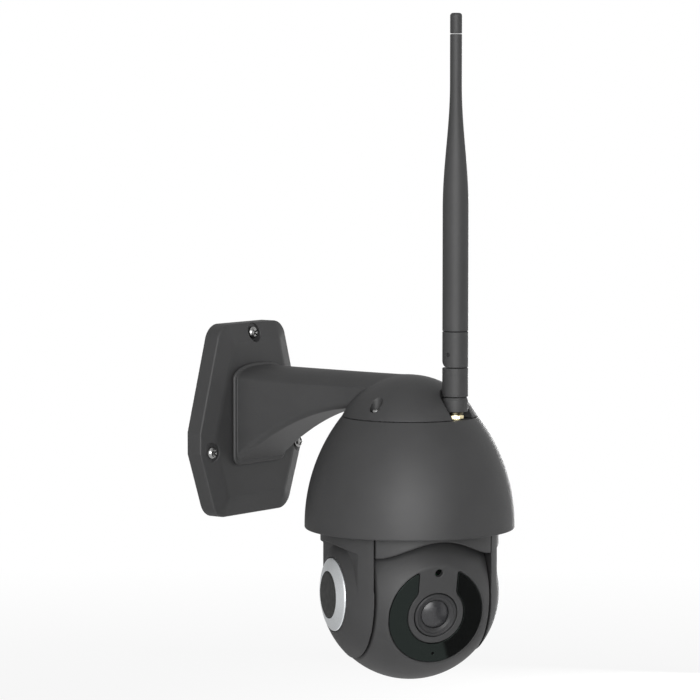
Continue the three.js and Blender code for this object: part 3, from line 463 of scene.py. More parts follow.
# ---- finishes ----
class Finish(Nodes):
    """A material's tree, with the patterns that the finishes share."""

    def __init__(self, name, **shader):
        self.material = bpy.data.materials.new(name)
        self.material.use_nodes = True
        super().__init__(self.material.node_tree)
        self.shader = self.tree.nodes["Principled BSDF"]
        for socket, value in shader.items():
            self.set(socket.replace("_", " ").title(), value)
        self.place = self.node("ShaderNodeTexCoord", output="Object")

    def set(self, socket, value):
        socket = {"Ior": "IOR", "Specular": "Specular IOR Level"}.get(socket, socket)
        target = self.shader.inputs[socket]
        if isinstance(value, Wire):
            self.tree.links.new(value.socket, target)
        elif socket in ("Base Color", "Specular Tint", "Emission Color"):
            target.default_value = (*value, 1)
        else:
            target.default_value = value

    def noise(self, size, detail=2.0, stretch=None):
        """Even noise whose lumps are about `size` millimetres, optionally stretched along an axis."""
        place = self.place
        if stretch:
            place = self.node("ShaderNodeMapping", inputs={"Vector": place, "Scale": stretch})
        inputs = {"Vector": place, "Scale": 1 / (size * MM), "Detail": detail}
        return self.node("ShaderNodeTexNoise", inputs=inputs)

    def mix(self, share_wire, first, second):
        """One colour fading into another."""
        colors = [(*c, 1) if isinstance(c, tuple) else c for c in (first, second)]
        inputs = {0: share_wire, 6: colors[0], 7: colors[1]}
        return self.node("ShaderNodeMix", {"data_type": "RGBA"}, inputs, output=2)

    def span(self, value, low, high, start=0.0, end=1.0):
        """A value between low and high turned into one between start and end."""
        inputs = {0: value, 1: low, 2: high, 3: start, 4: end}
        return self.node("ShaderNodeMapRange", inputs=inputs)

    def vary(self, noise, start=0.0, end=1.0):
        """A noise, most of whose values lie from 0.3 to 0.7, turned into a value between start and end."""
        return self.span(noise, 0.3, 0.7, start, end)

    def bump(self, height, depth, strength=1.0):
        """A normal from a height between 0 and 1 that stands for `depth` millimetres."""
        inputs = {"Strength": strength, "Distance": depth * MM, "Height": height}
        return self.node("ShaderNodeBump", inputs=inputs)


def shade(color, factor):
    return tuple(min(1.0, c * factor) for c in color)


def moulded_plastic(name, color, rough, grain, lump=0.6):
    """Satin moulded plastic: fine grain, a faint cloudiness, and handling marks in the gloss."""
    finish = Finish(name, ior=1.5, specular=0.45)
    fine = finish.noise(lump, 3.0)
    cloud = finish.noise(14.0, 2.0)
    marks = finish.noise(3.5, 4.0)
    speck = finish.noise(0.12, 1.0)
    finish.set("Base Color", finish.mix(finish.vary(cloud), shade(color, 0.94), shade(color, 1.06)))
    finish.set("Roughness", finish.vary(fine, rough - 0.035, rough + 0.035) + (marks - 0.5) * 0.05)
    finish.set("Normal", finish.bump(fine + speck * 0.5, 0.02, 0.55 * grain))
    return finish.material


def plated_metal(name, color, rough, lump=1.2, shaded_above=None):
    """Bright plated metal with slight waves and fine scratches; if a height is given, painted shade darkens
    it above that height.
    """
    finish = Finish(name, metallic=1.0)
    wave = finish.noise(lump, 2.0)
    scratch = finish.noise(0.5, 3.0, (1, 9, 3))
    tone = finish.mix(finish.vary(wave), shade(color, 0.9), shade(color, 1.05))
    if shaded_above is not None:
        # painted shade: above the height the metal's colour drops to a tenth, standing in for a cast shadow
        height = finish.node("ShaderNodeSeparateXYZ", inputs={0: finish.place}, output=2)
        tone = finish.mix(height > shaded_above * MM, tone, shade(color, 0.1))
    finish.set("Base Color", tone)
    finish.set("Roughness", finish.vary(scratch, rough * 0.75, rough * 1.35))
    finish.set("Normal", finish.bump(wave * 0.5 + scratch * 0.5, 0.02, 0.35))
    return finish.material


def smooth_plastic(name, color, rough, specular=0.35, ripple=0.2, gleam=(1, 1, 1)):
    """Smooth dark plastic with faint rub marks."""
    finish = Finish(name, ior=1.5, specular=specular, specular_tint=gleam)
    marks = finish.noise(2.5, 4.0)
    fine = finish.noise(0.2, 2.0)
    finish.set("Base Color", finish.mix(marks, shade(color, 0.9), shade(color, 1.1)))
    finish.set("Roughness", finish.vary(marks, rough * 0.85, rough * 1.15))
    finish.set("Normal", finish.bump(fine, 0.01, ripple))
    return finish.material


# ---- Geometry Nodes ----
CORE = 1 * MM  # radius of the circle that profiles are turned on
SHARP = math.radians(38)


class Shape(Nodes):
    """A Geometry Nodes tree with named inputs, and the turning that its pieces share."""

    def __init__(self, name, **sizes):
        super().__init__(bpy.data.node_groups.new(name, "GeometryNodeTree"))
        face = self.tree.interface
        face.new_socket("Geometry", in_out="OUTPUT", socket_type="NodeSocketGeometry")
        for label, kind in {"Geometry": "Geometry", **sizes, "Finish": "Material"}.items():
            face.new_socket(label.replace("_", " "), in_out="INPUT", socket_type="NodeSocket" + kind)
        source = self.tree.nodes.new("NodeGroupInput")
        self.given = {socket.name: Wire(self, socket) for socket in source.outputs if socket.name}
        self.index = self.node("GeometryNodeInputIndex")

    def __getitem__(self, name):
        return self.given[name]

    def those(self, *names):
        return (self.given[name] for name in names)

    def at(self, place):
        """One for the point of a line whose number is `place`."""
        return (self.index > place - 0.5) * (self.index < place + 0.5)

    def fraction(self, part, whole):
        """A part of a whole, kept between 0 and 1."""
        return self.node("ShaderNodeMath", {"operation": "DIVIDE", "use_clamp": True}, {0: part, 1: whole})

    def shifted(self, geometry, **how):
        return self.node("GeometryNodeTransform", inputs={"Geometry": geometry, **how})

    def curve(self, count, radius, height, fillet):
        """A profile curve of `count` points, each at its radius and height, with its corners rounded."""
        line = self.node("GeometryNodeMeshLine", inputs={"Count": count})
        inputs = {"Geometry": line, "Position": self.xyz(radius, height, 0)}
        moved = self.node("GeometryNodeSetPosition", inputs=inputs)
        curve = self.node("GeometryNodeMeshToCurve", inputs={"Mesh": moved})
        inputs = {"Curve": curve, "Count": 4, "Radius": fillet, "Limit Radius": True}
        return self.node("GeometryNodeFilletCurve", {"mode": "POLY"}, inputs)

    def profile(self, corners):
        """A profile curve through corners (radius, height, fillet), each a wire or a number in metres."""
        radius, height, fillet = (
            self.node(
                "GeometryNodeIndexSwitch",
                {"data_type": "FLOAT", "items": len(corners)},
                {0: self.index, **{i + 1: corner[part] for i, corner in enumerate(corners)}},
            )
            for part in range(3)
        )
        return self.curve(len(corners), radius, height, fillet)

    def turn(self, curve, segments):
        """A profile curve turned about +Z."""
        moved = self.shifted(curve, Translation=(-CORE, 0, 0))
        inputs = {"Resolution": segments, "Radius": CORE}
        circle = self.node("GeometryNodeCurvePrimitiveCircle", inputs=inputs)
        mesh = self.node("GeometryNodeCurveToMesh", inputs={"Curve": circle, "Profile Curve": moved})
        inputs = {"Geometry": self.shifted(mesh, Rotation=(math.pi, 0, 0)), "Distance": CORE / 1000}
        return self.node("GeometryNodeMergeByDistance", inputs=inputs)

    def end(self, geometry):
        """Finishes the tree: instances made real, edges marked, the material set."""
        real = self.node("GeometryNodeRealizeInstances", inputs={"Geometry": geometry})
        angle = self.node("GeometryNodeInputMeshEdgeAngle")
        inputs = {"Geometry": real, "Selection": angle > SHARP, "Shade Smooth": False}
        marked = self.node("GeometryNodeSetShadeSmooth", {"domain": "EDGE"}, inputs)
        inputs = {"Geometry": marked, "Material": self["Finish"]}
        painted = self.node("GeometryNodeSetMaterial", inputs=inputs)
        self.node("NodeGroupOutput", inputs={"Geometry": painted})
        return self.tree


def turned_tree():
    """Turns the profile that the base mesh holds, x away from the axis and y along it, about +Z."""
    shape = Shape("Turned", Segments="Int")
    curve = shape.node("GeometryNodeMeshToCurve", inputs={"Mesh": shape["Geometry"]})
    return shape.end(shape.turn(curve, shape["Segments"]))


def dome_tree():
    """A dome shell: its side an arc that stands upright at the waist, its rim rolled, its roof flat."""
    names = ("Radius", "Side_Arc", "Waist", "Top", "Rim", "Wall", "Roll")
    shape = Shape("Dome", Rows="Int", Segments="Int", **dict.fromkeys(names, "Float"))
    rows, top, rim, wall, waist, arc = shape.those("Rows", "Top", "Rim", "Wall", "Waist", "Side Arc")
    inside = shape.index < rows + 0.5
    down = shape.fraction(shape.index - 1, rows - 1)
    up = shape.fraction(shape.index - rows - 1, rows - 1)
    ceiling = top - wall
    height = (ceiling - (ceiling - rim) * down) * inside + (rim + (top - rim) * up) * (1 - inside)
    swing = arc - wall * inside
    rise = height - waist
    side = shape["Radius"] - arc + (swing * swing - rise * rise).root()
    on_side = (shape.index > 0.5) * (shape.index < rows * 2 + 0.5)
    fillet = shape["Roll"] * (shape.at(rows + 1) + shape.at(rows * 2) * 0.3 + shape.at(rows) * 0.4)
    curve = shape.curve(rows * 2 + 2, side * on_side, height, fillet)
    return shape.end(shape.turn(curve, shape["Segments"]))


def whip_tree():
    """A whip that thins along half a cosine wave."""
    names = ("Radius", "Tip_Radius", "Bottom", "Top", "Taper_Start", "Taper_Length", "Edge")
    shape = Shape("Whip", Rows="Int", Segments="Int", **dict.fromkeys(names, "Float"))
    rows, bottom, top, tip = shape.those("Rows", "Bottom", "Top", "Tip Radius")
    height = bottom + (top - bottom) * shape.fraction(shape.index - 1, rows - 1)
    fall = shape.fraction(height - shape["Taper Start"], shape["Taper Length"])
    thickness = tip + (shape["Radius"] - tip) * 0.5 * (1 + (fall * math.pi).cosine())
    ends = (shape.index < 0.5) + (shape.index > rows + 0.5)
    corner = shape.at(1) + shape.at(rows)
    curve = shape.curve(rows + 2, thickness * (1 - ends), height, shape["Edge"] * corner)
    return shape.end(shape.turn(curve, shape["Segments"]))


def screw_tree():
    """Cross-head screws on the base mesh's points, each along its point's `aim` and turned by chance."""
    shape = Shape("Screws", Seed="Int", **dict.fromkeys(("Head", "Height", "Shank", "Length"), "Float"))
    head, height, shank, length = shape.those("Head", "Height", "Shank", "Length")
    foot = 0 - length
    corners = [
        (0.0, foot, 0.0), (shank * 0.4, foot, 0.0), (shank, foot + shank, 0.0), (shank, 0.0, 0.0),
        (head, 0.0, head * 0.06), (head, height * 0.5, head * 0.3),
        (head * 0.62, height * 0.96, head * 0.5), (0.0, height, 0.0),
    ]
    blank = shape.turn(shape.profile(corners), 40)
    cutters = []
    for x, y in ((1.3, 0.32), (0.32, 1.3)):
        bar = shape.node("GeometryNodeMeshCube", inputs={"Size": shape.xyz(head * x, head * y, height)})
        cutters.append(shape.shifted(bar, Translation=shape.xyz(0.0, 0.0, height * 0.95)))
    cone = {"Vertices": 16, "Radius Top": head * 0.36, "Radius Bottom": head * 0.02}
    point = shape.node("GeometryNodeMeshCone", inputs={**cone, "Depth": height * 0.8})
    cutters.append(shape.shifted(point, Translation=shape.xyz(0.0, 0.0, height * 0.24)))
    inputs = {"Mesh 1": blank, "Mesh 2": cutters, "Self Intersection": True}
    screw = shape.node("GeometryNodeMeshBoolean", {"operation": "DIFFERENCE", "solver": "EXACT"}, inputs)
    aim = shape.node("GeometryNodeInputNamedAttribute", {"data_type": "FLOAT_VECTOR"}, {"Name": "aim"})
    align = shape.node("FunctionNodeAlignRotationToVector", {"axis": "Z"}, {"Vector": aim})
    inputs = {2: 0.0, 3: TURN, "ID": shape.index, "Seed": shape["Seed"]}
    chance = shape.node("FunctionNodeRandomValue", {"data_type": "FLOAT"}, inputs, output=1)
    spin = shape.node("FunctionNodeAxisAngleToRotation", inputs={"Axis": (0, 0, 1), "Angle": chance})
    turn = shape.node("FunctionNodeRotateRotation", {"rotation_space": "LOCAL"}, {0: align, 1: spin})
    inputs = {"Points": shape["Geometry"], "Instance": screw, "Rotation": turn}
    return shape.end(shape.node("GeometryNodeInstanceOnPoints", inputs=inputs))


def lamp_tree():
    """Round resin lamps, each with a domed lens over a short rim, on the base mesh's points."""
    shape = Shape("Lamps", Radius="Float", Rim="Float", Height="Float")
    radius, rim, height = shape.those("Radius", "Rim", "Height")
    corners = [
        (0.0, 0.0, 0.0), (radius, 0.0, 0.0), (radius, rim, radius * 0.1),
        (radius * 0.86, rim, radius * 0.06), (radius * 0.62, height * 0.9, radius * 0.4), (0.0, height, 0.0),
    ]
    inputs = {"Points": shape["Geometry"], "Instance": shape.turn(shape.profile(corners), 28)}
    return shape.end(shape.node("GeometryNodeInstanceOnPoints", inputs=inputs))


def metres(place):
    return Matrix.Translation(place.translation * MM) @ place.to_3x3().to_4x4()


def grown(name, tree, base, place, **sizes):
    """The plain mesh that a tree makes from a base mesh, in its place."""
    carrier = bpy.data.objects.new(name, base)
    bpy.context.scene.collection.objects.link(carrier)
    modifier = carrier.modifiers.new("Shape", "NODES")
    modifier.node_group = tree
    for item in tree.interface.items_tree:
        label = item.name.replace(" ", "_")
        if item.in_out == "INPUT" and label in sizes:
            modifier[item.identifier] = sizes[label]
    carrier.modifiers.new("Normals", "WEIGHTED_NORMAL").keep_sharp = True
    evaluated = carrier.evaluated_get(bpy.context.evaluated_depsgraph_get())
    mesh = bpy.data.meshes.new_from_object(evaluated)
    carrier.modifiers.clear()
    bpy.data.objects.remove(carrier)
    if not mesh.polygons:
        raise RuntimeError(f"{name} came out empty")
    mesh.transform(metres(place))
    return mesh


def filleted(corners, closed):
    """Profile points through corners (radius, height, fillet), each fillet an arc."""
    points = []
    for i, (x, y, fillet) in enumerate(corners):
        corner = Vector((x, y))
        if not fillet or (not closed and i in (0, len(corners) - 1)):
            points.append(corner)
            continue
        before, after = (Vector(corners[j % len(corners)][:2]) - corner for j in (i - 1, i + 1))
        half = before.angle(after) / 2
        reach = min(fillet / math.tan(half), before.length * 0.48, after.length * 0.48)
        before.normalize()
        after.normalize()
        centre = corner + (before + after).normalized() * reach / math.cos(half)
        spoke = corner + before * reach - centre
        sweep = math.pi - 2 * half
        side = math.copysign(1, before.cross(after))
        count = max(2, math.ceil(sweep / math.radians(18)))
        points += [centre + Matrix.Rotation(-side * sweep * k / count, 2) @ spoke for k in range(count + 1)]
    return points


def turned(name, corners, place, finish, closed=True, segments=96):
    """A piece turned about its place's +Z from a profile in millimetres, run anticlockwise."""
    points = filleted(corners, closed)
    base = bpy.data.meshes.new(name)
    links = [(i - 1, i) for i in range(1, len(points))]
    if closed:
        links.append((len(points) - 1, 0))
    base.from_pydata([(p.x * MM, p.y * MM, 0) for p in points], links, [])
    return grown(name, trees.turned, base, place, Segments=segments, Finish=finish)


def add_turned(name, corners, place, finish, body, slot, node, **options):
    """Turns a profile and adds it as a piece."""
    return add_piece(name, turned(name, corners, place, finish, **options), finish, body, slot, node)


def seats(name, places):
    """A base mesh of points with aims, from (place, direction) pairs in millimetres."""
    base = bpy.data.meshes.new(name)
    base.from_pydata([tuple(place * MM) for place, _ in places], [], [])
    aim = base.attributes.new("aim", "FLOAT_VECTOR", "POINT")
    for row, (_, direction) in zip(aim.data, places):
        row.vector = direction
    return base


trees = SimpleNamespace()
finishes = SimpleNamespace()


# ---- the pieces' fields, in millimetres ----
def plate_field(size, width):
    """The wall plate: x across, y into the wall, z up."""
    top, bottom = PLATE_HIGH.z, PLATE_LOW.z
    front, step = -PLATE_LOW.y, -PLATE_LOW.y - size.wall
    edge = [
        (-width, size.side_bottom, 1.2),
        (-size.bottom_half, bottom, size.corner),
        (size.bottom_half, bottom, size.corner),
        (width, size.side_bottom, 1.2),
        (width, size.side_top, 1.2),
        (size.top_half, top, size.corner),
        (-size.top_half, top, size.corner),
        (-width, size.side_top, 1.2),
    ]
    slant = math.hypot(size.band, step)

    def field(x, y, z):
        depth = -y
        side = outline(x, z, edge)
        band = (side * step + (depth - size.wall) * size.band) / slant
        body = both(both(side, band, size.edge), slab(depth, 0, front), 0.45)
        for sx, sz in WALL_SCREWS:
            floor = size.side_floor if sx else size.spotface_floor
            around = np.hypot(x - sx, z - sz)
            body = without(body, both(around - size.spotface, floor - depth, 0.3), 0.35)
            body = without(body, around - SCREW_HOLE, 0.2)
        for sx, sz in ARM_SCREWS:
            around = np.hypot(x - sx, z - sz)
            seat = both(around - ARM_SCREW_SEAT, depth - 6, 0.2)
            body = without(body, np.minimum(seat, around - ARM_SCREW_HOLE), 0.2)
        around = np.hypot(x, z - INLET_HEIGHT)
        seat = both(around - INLET_SEAT, depth - 2.6, 0.2)
        return without(body, np.minimum(seat, around - INLET_BORE), 0.2)

    return field


def arm_field(size):
    """The support arm, its cap and its lip, one casting, hollow for the cable."""
    start, lip_front = -ARM_HIGH.y, -ARM_HIGH.y + size.lip_depth
    axis = -DOME_AXIS.y
    boss_end, hole_end = 30, 21  # depths where the arm's screw bosses and their holes end
    lip_edge = rounded_box(size.lip_half, size.lip_bottom, size.lip_top, 5, 1)
    bend = (start, 46.0, size.join)  # depths of the three points that draw the underside's curve
    drop = (-12.3, 16.6, 20.0)  # their heights
    curl = bend[0] - 2 * bend[1] + bend[2]
    lead = 2 * (bend[1] - bend[0])

    def arch(across, lift, half, rise, square, power):
        level = across**square + lift**power - 1
        steep_x = square * across ** (square - 1) / half
        steep_z = np.where(lift > 0, power * np.maximum(lift, 1e-6) ** (power - 1) / rise, 0)
        return level / np.maximum(np.hypot(steep_x, steep_z), 0.06)

    def trunk(x, depth, z, inset):
        blend = np.clip((depth - start) / (size.join - start), 0, 1)
        half = size.root_half + (size.end_half - size.root_half) * blend - inset
        rise = size.crest - size.shoulder - size.crest_drop * (depth - start) / (axis - start) - inset
        lift = np.maximum(z - size.shoulder, 0) / rise
        over = arch(np.abs(x) / half, lift, half, rise, 2.6 - 0.5 * blend, 1 / (0.5 + 0.5 * blend))
        ahead = np.clip(depth, start, size.join) - start
        along = (np.sqrt(lead**2 + 4 * curl * ahead) - lead) / (2 * curl)
        low = drop[0] * (1 - along) ** 2 + 2 * drop[1] * along * (1 - along) + drop[2] * along**2
        climb = 2 * (1 - along) * (drop[1] - drop[0]) + 2 * along * (drop[2] - drop[1])
        under = (low + inset - z) / np.hypot(1, climb / (lead + 2 * curl * along))
        return both(over, under, max(size.heel - inset * 0.5, 0.5))

    def field(x, y, z):
        depth = -y
        beyond = slab(depth, start, axis)
        arm = both(trunk(x, depth, z, 0), beyond, 0.3)
        ball = np.sqrt(x**2 + (y - DOME_AXIS.y) ** 2 + (z - size.sphere_centre) ** 2)
        cap = both(ball - size.sphere, ARM_SEAM - z, 0.2)
        lip_rise = size.lip_top - size.lip_shoulder
        lift = np.maximum(z - size.lip_shoulder, 0) / lip_rise
        over = arch(np.abs(x) / size.lip_half, lift, size.lip_half, lip_rise, 2.6, 2.0)
        lip = both(np.maximum(outline(x, z, lip_edge), over), slab(depth, start, lip_front), 1.5)
        body = either(either(arm, cap, size.crease), lip, 0.15)
        hollow = np.minimum(
            np.maximum(trunk(x, depth, z, ARM_WALL), slab(depth, start - 1, axis)),
            np.maximum(ball - size.sphere + CAP_WALL, ARM_SEAM - 0.5 - z),
        )
        pin = np.hypot(x, y - DOME_AXIS.y + size.antenna_reach)
        for side in (-1, 1):
            around = np.hypot(x - side * size.pocket_place, y - DOME_AXIS.y)
            hollow = np.maximum(hollow, CAP_BOSS - around)
            body = without(body, both(around - size.pocket, size.pocket_floor - z, 0.3), 0.3)
            body = without(body, around - CAP_SCREW_HOLE, 0.2)
        hollow = np.maximum(hollow, size.antenna_pocket + 2 - pin)
        for sx, sz in ARM_SCREWS:
            around = np.hypot(x - sx, z - sz)
            hollow = np.maximum(hollow, np.minimum(ARM_BOSS - around, boss_end - depth))
            body = without(body, np.maximum(around - ARM_SCREW_HOLE, depth - hole_end), 0.2)
        body = without(body, pin - size.antenna_pocket, 0.3)
        return without(body, hollow, 0.3)

    return field


def yoke_body(x, y, z, radius, bottom):
    """A rounded bottom below the tilt axis, an upright cylinder above it."""
    return np.sqrt(x**2 + y**2 + (np.minimum(z, 0) * radius / bottom) ** 2) - radius


def yoke_arm_field(size, top):
    """The yoke's right arm: its inner face, its ear's recess, and the hub's bulge."""

    boss_radius, boss_foot, hole_foot = 3, 34, 36  # the boss that the cover's screw goes into
    lid = 2.5  # over the hollow

    def skin_of(x, y, z, inset, edge):
        body = yoke_body(x, y, z, size.radius - inset, size.ball - inset)
        arch = np.hypot(y, z - size.arch_top + size.arch_radius) - size.arch_radius - inset
        ear = both(arch, size.ear_flat - inset - x, edge)
        bulge = np.sqrt(x**2 + y**2 + z**2) - size.ball + inset
        return either(without(body, ear, edge), bulge, edge * 0.8)

    def field(x, y, z):
        outer = both(skin_of(x, y, z, 0, size.ear_edge), size.inner - x, 0.5)
        outer = both(outer, z - top, 0.3)
        around = np.hypot(y, z)
        screw = np.hypot(x - YOKE_SCREW_X, y)
        boss = np.maximum(screw - boss_radius, boss_foot - z)
        inner = np.maximum(np.maximum(skin_of(x, y, z, YOKE_WALL, 0.5), size.inner + 2 - x), z - top + lid)
        inner = np.maximum(inner, -np.maximum(around - RING_RADIUS - 2.5, SEAT - YOKE_WALL - x))
        inner = np.maximum(inner, -boss)
        outer = without(outer, both(around - RING_RADIUS - 0.3, SEAT - x, 0.2), 0.45)
        outer = without(outer, np.maximum(around - AXLE_HOLE, x - size.inner - 3), 0.2)
        outer = without(outer, np.maximum(screw - YOKE_SCREW_HOLE, hole_foot - z), 0.2)
        return without(outer, inner, 0.2)

    return field


def neck_field(size):
    """The yoke's neck: the drum between its arms, the visor's wavy edge, the disc and the hub."""
    wall, roof_bottom, into_disc = 2, 43.5, DISC_BOTTOM + 0.5
    hub_radius, hub_bore, screw_seat = 11, 6, 2.9
    groove_floor, groove_low, groove_high = 10.2, NECK_TOP - 3, NECK_TOP - 1.6

    def field(x, y, z):
        around = np.hypot(x, y)
        drum = both(around - size.radius, size.radius - wall - around, 0.5)
        drum = both(drum, slab(z, VISOR_EDGE, into_disc), 0.5)
        roof = np.maximum(around - size.radius + 1, slab(z, roof_bottom, into_disc))
        middle = both(np.minimum(drum, roof), np.abs(x) - NECK_HALF, 0.25)
        wave = 4 * np.arcsin(np.clip(x / size.radius, -1, 1))
        edge = z - size.visor_middle - size.visor_wave * np.cos(wave)
        lean = 4 * size.visor_wave * np.sin(wave) / np.sqrt(np.maximum(size.radius**2 - x**2, 100))
        below = np.maximum(edge / np.hypot(1, lean), y)
        middle = without(middle, below, size.edge)
        disc = both(around - size.radius + 0.4, slab(z, DISC_BOTTOM, DISC_TOP), 0.4)
        hub = both(around - hub_radius, slab(z, DISC_TOP - 1, NECK_TOP), 0.4)
        body = either(np.minimum(middle, disc), hub, 0.6)
        body = without(body, np.sqrt(around**2 + z**2) - BALL_CLEARANCE, 0.2)
        body = without(body, around - hub_bore, 0.3)
        groove = np.maximum(slab(around, groove_floor, hub_radius + 2), slab(z, groove_low, groove_high))
        body = without(body, groove, 0.15)
        for side in (-1, 1):
            screw = np.hypot(x - side * YOKE_SCREW_X, y)
            body = without(body, np.maximum(screw - YOKE_SCREW_HOLE, DISC_BOTTOM - 1 - z), 0.15)
            body = without(body, np.maximum(screw - screw_seat, DISC_TOP - 1.2 - z), 0.2)
        return body

    return field


def ball_body(x, y, z, size, inset):
    sphere = np.sqrt(x**2 + y**2 + z**2) - size.radius + inset
    return both(sphere, np.abs(x) - size.half + inset, max(0.8 - inset, 0.2))


def window_ring(x, y, size, gap, corner):
    """The window's outline round the lens, open for the tab, `gap` wider all round."""
    around = np.hypot(x, y)
    ring = both(size.window_inner - gap - around, around - size.window_outer - gap, corner)
    tab = np.maximum(np.abs(x) - size.tab_half + gap, -y)
    return without(ring, tab, corner)


def ball_front_field(size):
    """The ball's front half: flat face, lens hole, the window's seat, sensor hole."""
    wall, seat_depth, floor = 2.8, 1.15, 20  # behind the face, under the window, and where the cuts end
    opening_inner, opening_outer, sensor_hole = 16.2, 22.8, 1.9

    def field(x, y, z):
        around = np.hypot(x, y)
        outer = both(ball_body(x, y, z, size, 0), z - size.face, 0.5)
        outer = both(outer, size.seam + 0.15 - z, 0.3)
        inner = np.maximum(ball_body(x, y, z, size, BALL_WALL), z - size.face + wall)
        body = without(outer, inner, 0.2)
        seat = both(window_ring(x, y, size, 0.3, 1.3), size.face - seat_depth - z, 0.15)
        body = without(body, seat, 0.15)
        ring = both(opening_inner - around, around - opening_outer, 0.5)
        opening = without(ring, np.maximum(np.abs(x) - size.tab_half - 1.4, -y), 0.5)
        sensor = np.hypot(x, y - size.sensor_height) - sensor_hole
        body = without(body, np.maximum(opening, floor - z), 0.2)
        body = without(body, np.maximum(around - size.lens_hole, floor - z), 0.25)
        body = without(body, np.maximum(sensor, floor - z), 0.3)
        return without(body, np.hypot(y, z) - AXLE_HOLE, 0.3)

    return field


def ball_rear_field(size):
    """The ball's rear half, with the rib that its motor is fixed to."""
    rib_place, rib_thick, rib_half = 18.95, 1.3, 12
    motor_low, motor_radius = 19, 5.6  # the rib's hole for the motor

    def field(x, y, z):
        outer = both(ball_body(x, y, z, size, 0), z - size.seam + 0.15, 0.3)
        inner = ball_body(x, y, z, size, BALL_WALL)
        plate = np.maximum(np.abs(x - rib_place) - rib_thick / 2, np.abs(y) - rib_half)
        inner = np.maximum(inner, -np.maximum(plate, motor_radius - np.hypot(y, z + motor_low)))
        return without(outer, inner, 0.2)

    return field


def window_field(size):
    """The dark window's plate, with the microphone's hole."""
    thick, mic_hole = 0.85, 0.6

    def field(x, y, z):
        plate = both(window_ring(x, y, size, 0, 1.0), slab(z, size.face - thick, size.face), 0.12)
        return without(plate, np.hypot(x, y - size.mic_height) - mic_hole, 0.12)

    return field


def nut_field(low, high):
    """A hexagonal nut with its corners turned off, and a round ring above a groove."""
    flats_end = NUT_RING - 0.3
    corner, chamfer, ring, groove, bore = 4.2, 0.25, 4.1, 3.6, 3.3

    def field(x, y, z):
        across = [np.abs(x * math.cos(a) + y * math.sin(a)) for a in np.radians((37, 97, 157))]
        flats = np.maximum.reduce(across) - corner * math.cos(math.radians(30))
        body = both(flats, slab(z, low, flats_end), 0.12)
        around = np.hypot(x, y)
        ends = np.abs(z - (low + flats_end) / 2) - (flats_end - low) / 2
        body = both(body, (around - corner - 0.15 + ends + chamfer) / math.sqrt(2), 0.1)
        body = np.minimum(body, both(around - ring, slab(z, NUT_RING, high), 0.15))
        body = np.minimum(body, np.maximum(around - groove, slab(z, low + 0.5, high - 0.5)))
        return without(body, around - bore, 0.1)

    return field


def swivel_field(radius, low, high, hinge_height, pin, edge):
    """The antenna's swivel: a short barrel with two turned lines, and a tongue with the pin's eye."""
    lines, line_depth = (low + 1.1, high - 3.4), 0.16
    tongue_radius, tongue_half = 3.2, 2.1

    def field(x, y, z):
        around = np.hypot(x, y)
        barrel = both(around - radius, slab(z, low, high), 0.45)
        for line in lines:
            barrel = without(barrel, np.hypot(around - radius - 0.05, z - line) - line_depth, 0.05)
        eye = np.hypot(y, z - hinge_height)
        plate = np.maximum(np.abs(y) - tongue_radius, slab(z, high - 1, hinge_height))
        tongue = both(np.minimum(eye - tongue_radius, plate), np.abs(x) - tongue_half, edge)
        return without(np.minimum(barrel, tongue), eye - pin - 0.3, 0.1)

    return field


def knuckle_field(radius, low, high, hinge_height, pin, edge):
    """The antenna's knuckle: a slotted barrel whose lower edge on the wall side is round about the pin."""
    slot_half, slot_reach = 2.4, 3.6

    def field(x, y, z):
        body = both(np.hypot(x, y) - radius, slab(z, low, high), edge)
        eye = np.hypot(y, z - hinge_height)
        corner = np.maximum(np.maximum(-y, z - hinge_height), hinge_height - low - eye)
        body = without(body, corner, edge)
        slot = np.maximum(np.maximum(np.abs(x) - slot_half, -y - slot_reach), z - hinge_height - slot_reach)
        body = without(body, slot, 0.1)
        return without(body, eye - pin, 0.15)

    return field


def middle(node):
    low, high = corners(node)
    return (low + high) / 2


# ---- places of the small parts, in millimetres ----
WALL_SCREWS = [(middle(f"wall_screw_{n}").x, middle(f"wall_screw_{n}").z) for n in ("top", "left", "right")]
ARM_SCREWS = [(middle(f"arm_screw_{i}").x, middle(f"arm_screw_{i}").z) for i in (1, 2, 3, 4)]
INLET_HEIGHT = middle("cable_inlet_grommet").z
ARM_SEAM = DOME_HIGH.z + 0.12
ARM_WALL = 3
CAP_WALL = 2.8
BALL_WALL = YOKE_WALL = 2.2
SCREW_HOLE = 2.2
ARM_SCREW_HOLE = 2
ARM_SCREW_SEAT = 3.9
ARM_BOSS = 3.6
CAP_BOSS = 5.4
CAP_SCREW_HOLE = 1.6
INLET_SEAT = 10.3
INLET_BORE = 8
YOKE_SCREW_HOLE = 1.5
AXLE_HOLE = 8
ANTENNA_GAP = 0.3
BALL_CLEARANCE = 45.1  # radius of the hollow in the yoke's neck for the ball
# above this height the brass also gets painted shade, for the shadow of the antenna's collar
NUT_RING = 19.3  # height where the antenna nut's round ring begins
SEAT = 38.6  # depth of the hub rings' seat, from the yoke's middle
RING_RADIUS = 18.1
VISOR_EDGE = 21.3
DISC_BOTTOM = 46.0
DISC_TOP = 48.4
NECK_TOP = 64.0
NECK_HALF = 30.3
YOKE_SCREW_X = 36.5


def lengths(group):
    """A property group's sizes, its lengths in millimetres."""
    found = {}
    for prop in group.bl_rna.properties:
        if prop.identifier not in ("rna_type", "name"):
            value = getattr(group, prop.identifier)
            found[prop.identifier] = value / MM if getattr(prop, "unit", "") == "LENGTH" else value
    return SimpleNamespace(**found)


class PieceOperator(bpy.types.Operator):
    """What the makers of pieces share."""

    bl_options = {"REGISTER", "UNDO"}

    def execute(self, context):
        self.make(context.scene.pan_tilt_camera)
        return {"FINISHED"}


